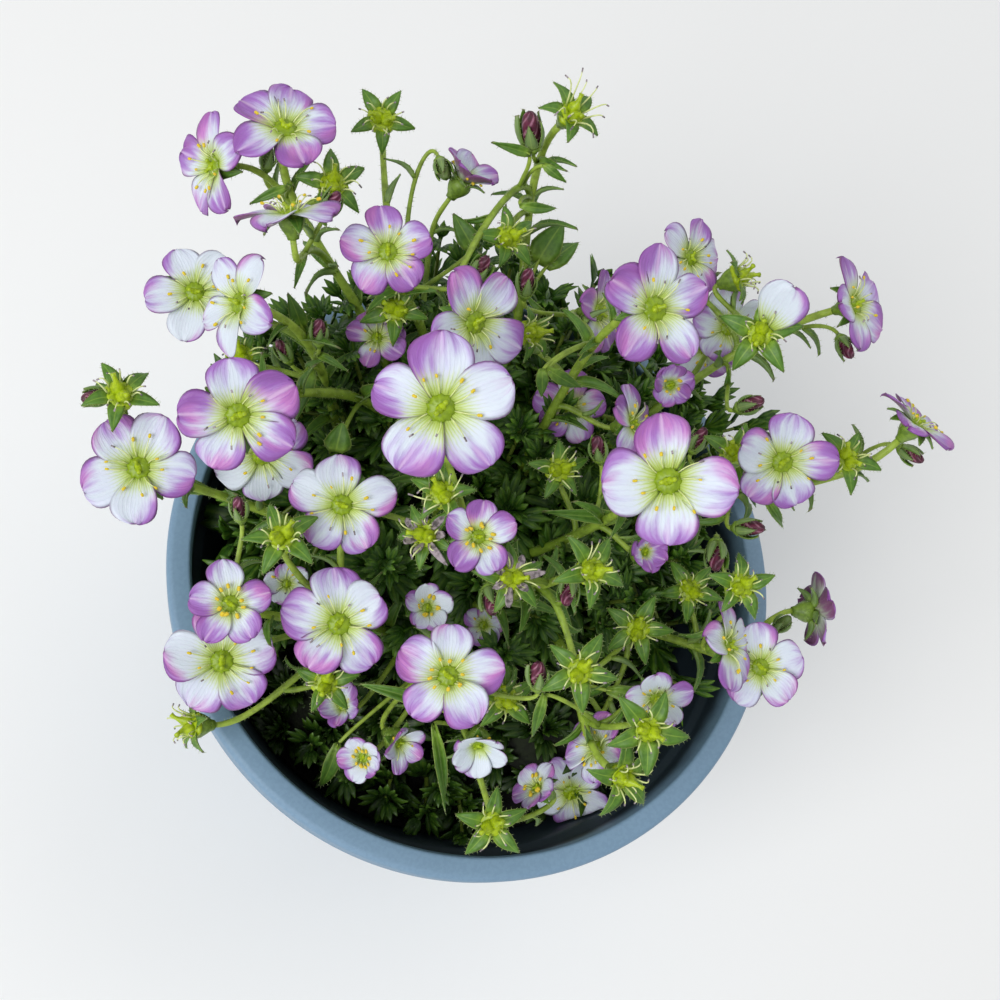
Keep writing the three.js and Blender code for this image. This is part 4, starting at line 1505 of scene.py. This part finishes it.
def cushion_spots(node, gap, rng):
    """Places and directions on a cushion, at least about one gap apart."""
    low, high = box_of(node)
    spots = []
    for _ in range(CUSHION_TRIES):
        top = top_of(CUSHIONS[node], *rng.uniform(low[:2], high[:2]))
        if top and all(np.linalg.norm(top[0] - spot) > gap for spot, _ in spots):
            spots.append(top)
    return spots


def open_soil_spots(gap, rng):
    """Places on the compost beside the cushions, at least about one gap apart."""
    widest = box_of("compost")[1][0] * 0.93
    spots = []
    for _ in range(SOIL_TRIES):
        radius = widest * math.sqrt(rng.uniform())
        angle = rng.uniform(0, 2 * math.pi)
        spot = round_pot(angle) * radius + UP * (COMPOST_TOP - 1.5)
        covered = any(top_of(surface, *spot[:2]) for surface in CUSHIONS.values())
        if not covered and all(np.linalg.norm(spot - other) > gap for other in spots):
            spots.append(spot)
    return spots


# Operators.


class SAXIFRAGE_OT_pot(bpy.types.Operator):
    """Turn the moulded pot on its axis, with a rounded lip, a stacking ledge and drainage holes"""

    bl_idname = "saxifrage.pot"
    bl_label = "Pot"

    def execute(self, context):
        pot = context.scene.saxifrage_pot
        lip = pot.lip_round / MM
        wall = pot.wall / MM
        turn = np.linspace(0, math.pi / 2, 6)
        # The outline as radius and height, from the middle of the foot up the outside: a pad, a channel and a
        # ring, the tapered wall, the ledge that stops one pot in another, the collar and the rolled lip.
        pad, ring, channel, collar = 20, 33, 1.4, 52
        profile = [(0, 0), (pad, 0), (pad + channel, channel), (ring - channel, channel), (ring, 0)]
        profile += [(36.4, 0), (36.9, 0.5), (collar - 1.8, RIM - 11.9), (collar - 1.4, RIM - 10.6)]
        profile += [(collar - 0.2, RIM - 10.2), (collar, RIM - 9.8), (collar, RIM - 2.2)]
        profile += [(collar + 0.4, RIM - 1.7)]
        skirt = [(1.5, 2.0), (1.3, 6.5), (0.7, 6.9), (0.1, 6.4)]
        profile += [(POT_RADIUS - inward, RIM - down) for inward, down in skirt]
        profile += [(POT_RADIUS - lip + lip * math.cos(a), RIM - lip + lip * math.sin(a)) for a in turn]
        profile += [(POT_RADIUS - 3.4 - 0.6 * math.sin(a), RIM - 0.6 + 0.6 * math.cos(a)) for a in turn]
        # Down the inside to the floor of the pot.
        profile += [(50.8, RIM - 1.0), (COLLAR_INSIDE, RIM - 9.8), (50.2, RIM - 10.4), (49.2, RIM - 10.7)]
        profile += [(48.8, RIM - 11.4), (36.6 - wall, 4.2), (35.6 - wall, 3), (0, 3)]
        mesh = turned_mesh("pot_wall", profile, 192)
        made = settle(bpy.data.objects.new("pot_wall", mesh), "pot_plastic", "pot")
        mesh.materials.append(finish_of("pot"))
        drill_drains(made)
        return {"FINISHED"}


def turned_mesh(name, profile, segments):
    """A closed turned solid from a profile that starts and ends on the axis."""
    profile = np.asarray(profile, float)
    body = profile[1:-1]
    ring = round_section(segments)
    points = [np.insert(ring * radius, 2, height, 1) for radius, height in body]
    points = np.vstack([*points, [0, 0, profile[0][1]], [0, 0, profile[-1][1]]]) * MM
    mesh = bpy.data.meshes.new(name)
    mesh.from_pydata(points.tolist(), [], ring_faces(len(body), segments))
    mesh.polygons.foreach_set("use_smooth", [True] * len(mesh.polygons))
    mesh.update()
    return mesh


def drill_drains(pot):
    """Cuts the drainage holes through the channel of the foot."""
    count, radius, circle = 8, 3.2, 26.5
    profile = [(0, -2), (radius, -2), (radius, 6), (0, 6)]
    for angle in np.arange(count) * 2 * math.pi / count:
        cutter = bpy.data.objects.new("drill", turned_mesh("drill", profile, 24))
        cutter.location = Vector(round_pot(angle) * circle * MM)
        bpy.context.scene.collection.objects.link(cutter)
        cut = pot.modifiers.new("drain", "BOOLEAN")
        cut.operation = "DIFFERENCE"
        cut.solver = "EXACT"
        cut.object = cutter
        bake_modifiers(pot)
        bpy.data.objects.remove(cutter)


def bake_modifiers(made):
    """Puts the result of a piece's modifiers in its mesh."""
    graph = bpy.context.evaluated_depsgraph_get()
    mesh = bpy.data.meshes.new_from_object(made.evaluated_get(graph))
    made.modifiers.clear()
    made.data = mesh


class SAXIFRAGE_OT_compost(bpy.types.Operator):
    """Fill the pot with crumbly compost"""

    bl_idname = "saxifrage.compost"
    bl_label = "Compost"

    def execute(self, context):
        rng = np.random.default_rng(7)
        low, high = box_of("compost")
        top = high[2] - 0.6
        radius = high[0]
        rows, columns = 20, 80
        piece = Piece("compost_fill", "compost")
        reach = np.linspace(0.02, 1, rows)
        rough = rng.normal(0, 0.45, (rows, columns))
        rough = (rough + np.roll(rough, 1, 1) + np.roll(rough, -1, 1)) / 2
        # From 0.78 of the radius the surface sags towards the wall, by 2 mm.
        sag = np.clip((reach - 0.78) / 0.22, 0, 1) ** 2 * 2
        ring = round_section(columns)
        heights = top - sag[:, None] + rough * (reach < 0.97)[:, None]
        points = [np.insert(ring * share * radius, 2, height, 1) for share, height in zip(reach, heights)]
        points += [np.insert(ring * 34.2, 2, low[2], 1), [[0, 0, top], [0, 0, low[2]]]]
        points = np.vstack(points)
        piece.add((points, ring_faces(rows + 1, columns), np.zeros((len(points), 3))), "compost")
        largest = context.scene.saxifrage_pot.crumb / MM
        for _ in range(500):
            away = radius * 0.93 * math.sqrt(rng.uniform(0.15, 1))
            angle = rng.uniform(0, 2 * math.pi)
            size = largest * rng.uniform(0.2, 0.6)
            down = 0.1 + 2 * max(0, away / radius - 0.78) / 0.22
            spot = round_pot(angle) * away + UP * (top - down)
            way = unit(rng.normal(size=3)) * size * rng.uniform(0.6, 1.8)
            run = np.linspace(-1, 1, 4)[:, None]
            fat = size * np.array([0.45, 1, 0.9, 0.4]) * rng.uniform(0.6, 1.1)
            piece.add(loft(spot + run * way, fat, fat * rng.uniform(0.5, 1), round_section(5)), "compost")
        piece.make("compost")
        return {"FINISHED"}


class SAXIFRAGE_OT_leaf_mat(bpy.types.Operator):
    """Cover each cushion and the open compost with rosettes of lobed leaves"""

    bl_idname = "saxifrage.leaf_mat"
    bl_label = "Leaf mat"

    def execute(self, context):
        green = context.scene.saxifrage_green
        rng = np.random.default_rng(21)
        kinds = [leaf_kind(fingers, rng) for fingers in (3, 5, 5, 3, 5, 3, 5, 5, 3, 5)]
        size = green.leaf_length / MM
        gap = green.rosette_gap / MM
        for node in CUSHIONS:
            self.litter(node)
            middle = node == MIDDLE
            quarters = {}
            for hit, normal in cushion_spots(node, gap * (1 if middle else 0.8), rng):
                quarter = ("left" if hit[0] < 0 else "right") + ("_back" if hit[1] > 13 else "_front")
                quarters.setdefault(quarter if middle else "all", []).append((hit, normal))
            for quarter, found in sorted(quarters.items()):
                piece = Piece(f"rosettes_{node.split('_')[-1]}_{quarter}", "leaf")
                for hit, normal in found:
                    axis = unit(normal * 0.6 + UP * 0.55 + rng.normal(0, 0.12, 3))
                    long = size * rng.uniform(0.8, 1.1) * (1 if middle else 0.75)
                    shade = float(np.clip((RIM + 4 - hit[2]) / 26, 0, 0.7))
                    add_rosette(piece, kinds, hit - axis * 2.5, axis, long, rng.integers(9, 12), rng, shade)
                piece.make()
        low = Piece("rosettes_low", "leaf")
        small = [leaf_kind(3, rng) for _ in range(6)]
        for spot in open_soil_spots(gap * 0.95, rng):
            axis = unit(UP + rng.normal(0, 0.15, 3) - np.array([*spot[:2], 0]) * 0.006)
            add_rosette(low, small, spot, axis, size * rng.uniform(0.6, 0.85), rng.integers(8, 11), rng, 0.48)
        low.make()
        return {"FINISHED"}

    def litter(self, node):
        """The old leaves inside a cushion, a little within its solid."""
        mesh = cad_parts[node].data
        low, high = box_of(node)
        points = np.array([v.co for v in mesh.vertices]) / MM
        middle = (low + high) / 2
        middle[2] = low[2]
        points = middle + (points - middle) * LITTER_SIZE
        piece = Piece("litter_" + node.split("_")[-1], "leaf")
        faces = [list(p.vertices) for p in mesh.polygons]
        piece.add((points, faces, np.zeros((len(points), 3))), "litter")
        piece.make(node)


class SAXIFRAGE_OT_shoots(bpy.types.Operator):
    """Grow leafy shoots between the flower stalks and out over the rim"""

    bl_idname = "saxifrage.shoots"
    bl_label = "Leafy shoots"

    def execute(self, context):
        rng = np.random.default_rng(33)
        kinds = [leaf_kind(fingers, rng) for fingers in (3, 3, 5, 3, 5, 3)]
        size = context.scene.saxifrage_green.leaf_length / MM
        low, high = box_of(MIDDLE)
        centre = (low + high)[:2] / 2
        half = (high - low)[:2] / 2
        edge = Piece("shoots_over_rim", "leaf")
        # Round the pot from its front right by the back to its front left, one shoot to every 8.2 degrees.
        for angle in np.radians(np.arange(-28, 209, 8.2)):
            way = round_pot(angle)[:2] * half
            inner = centre + way * rng.uniform(0.62, 0.82)
            back = math.radians(16) < angle < math.radians(157)
            reach = POT_RADIUS * (rng.uniform(0.86, 1.02) if back else rng.uniform(0.68, 0.8))
            outer = round_pot(angle)[:2] * reach
            root = np.array([*inner, mat_under(*inner) - 2])
            tip = np.array([*outer, RIM + (rng.uniform(3, 13) if back else rng.uniform(-6, 2))])
            facing = unit(np.array([*way, 0]) / 60 + UP)
            add_shoot(edge, kinds, root, tip, rng, 9, size * rng.uniform(0.75, 0.95), 0.1, facing)
        edge.make()
        inside = Piece("shoots_inside", "leaf")
        count = 32
        for k in range(count):
            angle = k * GOLDEN
            away = 0.86 * math.sqrt((k + 0.5) / count)
            inner = centre + round_pot(angle)[:2] * half * away
            root = np.array([*inner, mat_under(*inner) - 2])
            rise = rng.uniform(9, 17) + 4 * (inner[1] - centre[1]) / half[1]
            tip = root + np.array([*(inner - centre) * 0.12, rise])
            add_shoot(inside, kinds, root, tip, rng, 8, size * rng.uniform(0.6, 0.85), 0.15)
        for tuft in TUFTS:
            tip = place_at(tuft["seen"], tuft["height"])
            inner = tip[:2] * 0.8
            root = np.array([*inner, (mat_under(*inner) or COMPOST_TOP) - 2])
            shade = tuft.get("shade", 0.0)
            add_shoot(inside, kinds, root, tip, rng, 10, tuft["size"], shade, unit(EYE - tip))
        inside.make()
        return {"FINISHED"}


class SAXIFRAGE_OT_lone_leaves(bpy.types.Operator):
    """Add the long leaves that stand out between the flowers"""

    bl_idname = "saxifrage.lone_leaves"
    bl_label = "Lone leaves"

    def execute(self, context):
        rng = np.random.default_rng(44)
        piece = Piece("lone_leaves", "leaf")
        for leaf in LONE_LEAVES:
            foot, tip = (place_at(pixel, height) for pixel, height in leaf["ends"])
            length = np.linalg.norm(tip - foot)
            out = (tip - foot) / length
            up = unit(EYE - foot)
            up = unit(up - out * (up @ out))
            stance = Stance(foot, out, up)
            add_sepal(
                piece, stance, 0, length, leaf["wide"], 0, 0, rng, droop=leaf.get("droop", 0.06), bulge=0.06,
                hairs=7, shade=leaf.get("shade", 0.1), base=0.4,
            )
            start, ahead = carrier_of(foot)
            turning = start + ahead * 0.3 * np.linalg.norm(foot - start)
            stem = np.array([start, turning, foot - out * 1.5, foot + out])
            add_stem(piece, stem, THIN_STEM, rng, shade=0.15, hairy=False)
        piece.make()
        return {"FINISHED"}


class SAXIFRAGE_OT_stalks(bpy.types.Operator):
    """Grow the flower stalks with their branches, bracts and hairs"""

    bl_idname = "saxifrage.stalks"
    bl_label = "Stalks"

    def execute(self, context):
        for number in sorted(STALKS):
            stalk_piece(number)
        return {"FINISHED"}


class SAXIFRAGE_OT_heads(bpy.types.Operator):
    """Dress every open and spent head of the model"""

    bl_idname = "saxifrage.heads"
    bl_label = "Heads"

    def execute(self, context):
        for heads in stem_heads().values():
            for node in heads:
                stance, span, petals = read_head(node)
                looks = HEADS.get(node, {})
                name = node.replace("_flower", "")
                seed = sum(ord(c) * (i + 1) for i, c in enumerate(node))
                if node.startswith("open"):
                    open_flower(name, stance, span, petals, looks, seed, node)
                else:
                    spent_flower(name, stance, span, looks, seed, node)
        return {"FINISHED"}


class SAXIFRAGE_OT_lesser_heads(bpy.types.Operator):
    """Add the deeper flowers and spent heads, each on its own stem"""

    bl_idname = "saxifrage.lesser_heads"
    bl_label = "Lesser heads"

    def execute(self, context):
        stems = Piece("lesser_stems", "stalk")
        for k, looks in enumerate(LESSER_FLOWERS):
            stance = stance_of(looks)
            open_flower(f"lesser_open_{k + 1:02d}", stance, looks["span"], 5, looks, 300 + k)
            add_carrying_stem(stems, stance, np.random.default_rng(500 + k), looks)
        for k, looks in enumerate(LESSER_SPENT):
            stance = stance_of(looks)
            spent_flower(f"lesser_spent_{k + 1:02d}", stance, looks["span"], looks, 400 + k)
            add_carrying_stem(stems, stance, np.random.default_rng(600 + k), looks)
        for k, looks in enumerate(BUDS):
            stance = bud(f"bud_{k + 1:02d}", looks, 700 + k)
            rng = np.random.default_rng(800 + k)
            add_carrying_stem(stems, stance, rng, looks, radius=0.45, depth=BUD_CUP)
        stems.make()
        return {"FINISHED"}


class SAXIFRAGE_OT_stage(bpy.types.Operator):
    """Set the pale floor, the soft light and the camera of the photograph"""

    bl_idname = "saxifrage.stage"
    bl_label = "Stage"

    def execute(self, context):
        stage = context.scene.saxifrage_stage
        side = 4.0
        mesh = bpy.data.meshes.new("floor")
        corners = [(x * side, y * side, 0) for x, y in ((-1, -1), (1, -1), (1, 1), (-1, 1))]
        mesh.from_pydata(corners, [], [(0, 1, 2, 3)])
        mesh.materials.append(finish_of("floor"))
        floor = bpy.data.objects.new("floor", mesh)
        context.scene.collection.objects.link(floor)
        self.light("key", (-0.55, -0.35, 0.75), 0.55, stage.key)
        self.light("fill", (0.5, 0.45, 0.8), 0.9, stage.key * 0.35)
        world = bpy.data.worlds.new("even_sky")
        world.use_nodes = True
        sky = world.node_tree.nodes["Background"]
        sky.inputs["Color"].default_value = (0.96, 0.98, 1.0, 1)
        sky.inputs["Strength"].default_value = stage.sky
        context.scene.world = world
        self.camera(context)
        context.scene.view_settings.view_transform = "Standard"
        context.scene.view_settings.look = "None"
        return {"FINISHED"}

    def light(self, name, place, size, power):
        """A soft area light that looks at the plant."""
        lamp = bpy.data.lights.new(name, "AREA")
        lamp.size = size
        lamp.energy = power
        made = bpy.data.objects.new(name, lamp)
        made.location = place
        aim = Vector((0, 0, 0.09)) - Vector(place)
        made.rotation_euler = aim.to_track_quat("-Z", "Y").to_euler()
        bpy.context.scene.collection.objects.link(made)

    def camera(self, context):
        """The eye of the photograph."""
        lens = bpy.data.cameras.new("photo_eye")
        lens.sensor_width = 36
        lens.lens = FOCAL / PHOTO * lens.sensor_width
        lens.clip_start = 0.01
        made = bpy.data.objects.new("photo_eye", lens)
        axes = Matrix([RIGHT, ABOVE, -SIGHT]).transposed()
        made.matrix_world = Matrix.Translation(Vector(EYE * MM)) @ axes.to_4x4()
        context.scene.collection.objects.link(made)
        context.scene.camera = made


OPERATORS = (
    SAXIFRAGE_OT_stage,
    SAXIFRAGE_OT_pot,
    SAXIFRAGE_OT_compost,
    SAXIFRAGE_OT_leaf_mat,
    SAXIFRAGE_OT_shoots,
    SAXIFRAGE_OT_lone_leaves,
    SAXIFRAGE_OT_stalks,
    SAXIFRAGE_OT_heads,
    SAXIFRAGE_OT_lesser_heads,
)


class SAXIFRAGE_PT_panel(bpy.types.Panel):
    """Lists the plant's settings and the steps that build it"""

    bl_label = "Saxifrage"
    bl_idname = "SAXIFRAGE_PT_panel"
    bl_space_type = "VIEW_3D"
    bl_region_type = "UI"
    bl_category = "Saxifrage"

    def draw(self, context):
        for key, group in SETTINGS.items():
            box = self.layout.box()
            for name in group.__annotations__:
                box.prop(getattr(context.scene, key), name)
        for step in OPERATORS:
            self.layout.operator(step.bl_idname)


CLASSES = (*SETTINGS.values(), *OPERATORS, SAXIFRAGE_PT_panel)


def register():
    """Adds the add-on's classes and its settings to Blender."""
    for each in CLASSES:
        bpy.utils.register_class(each)
    for key, group in SETTINGS.items():
        setattr(bpy.types.Scene, key, bpy.props.PointerProperty(type=group))


def unregister():
    """Takes them away again."""
    for key in SETTINGS:
        delattr(bpy.types.Scene, key)
    for each in reversed(CLASSES):
        bpy.utils.unregister_class(each)


def main():
    """Registers the add-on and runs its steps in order."""
    register()
    for step in OPERATORS:
        getattr(bpy.ops.saxifrage, step.bl_idname.split(".")[1])()
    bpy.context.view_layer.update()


if __name__ == "__main__":
    main()
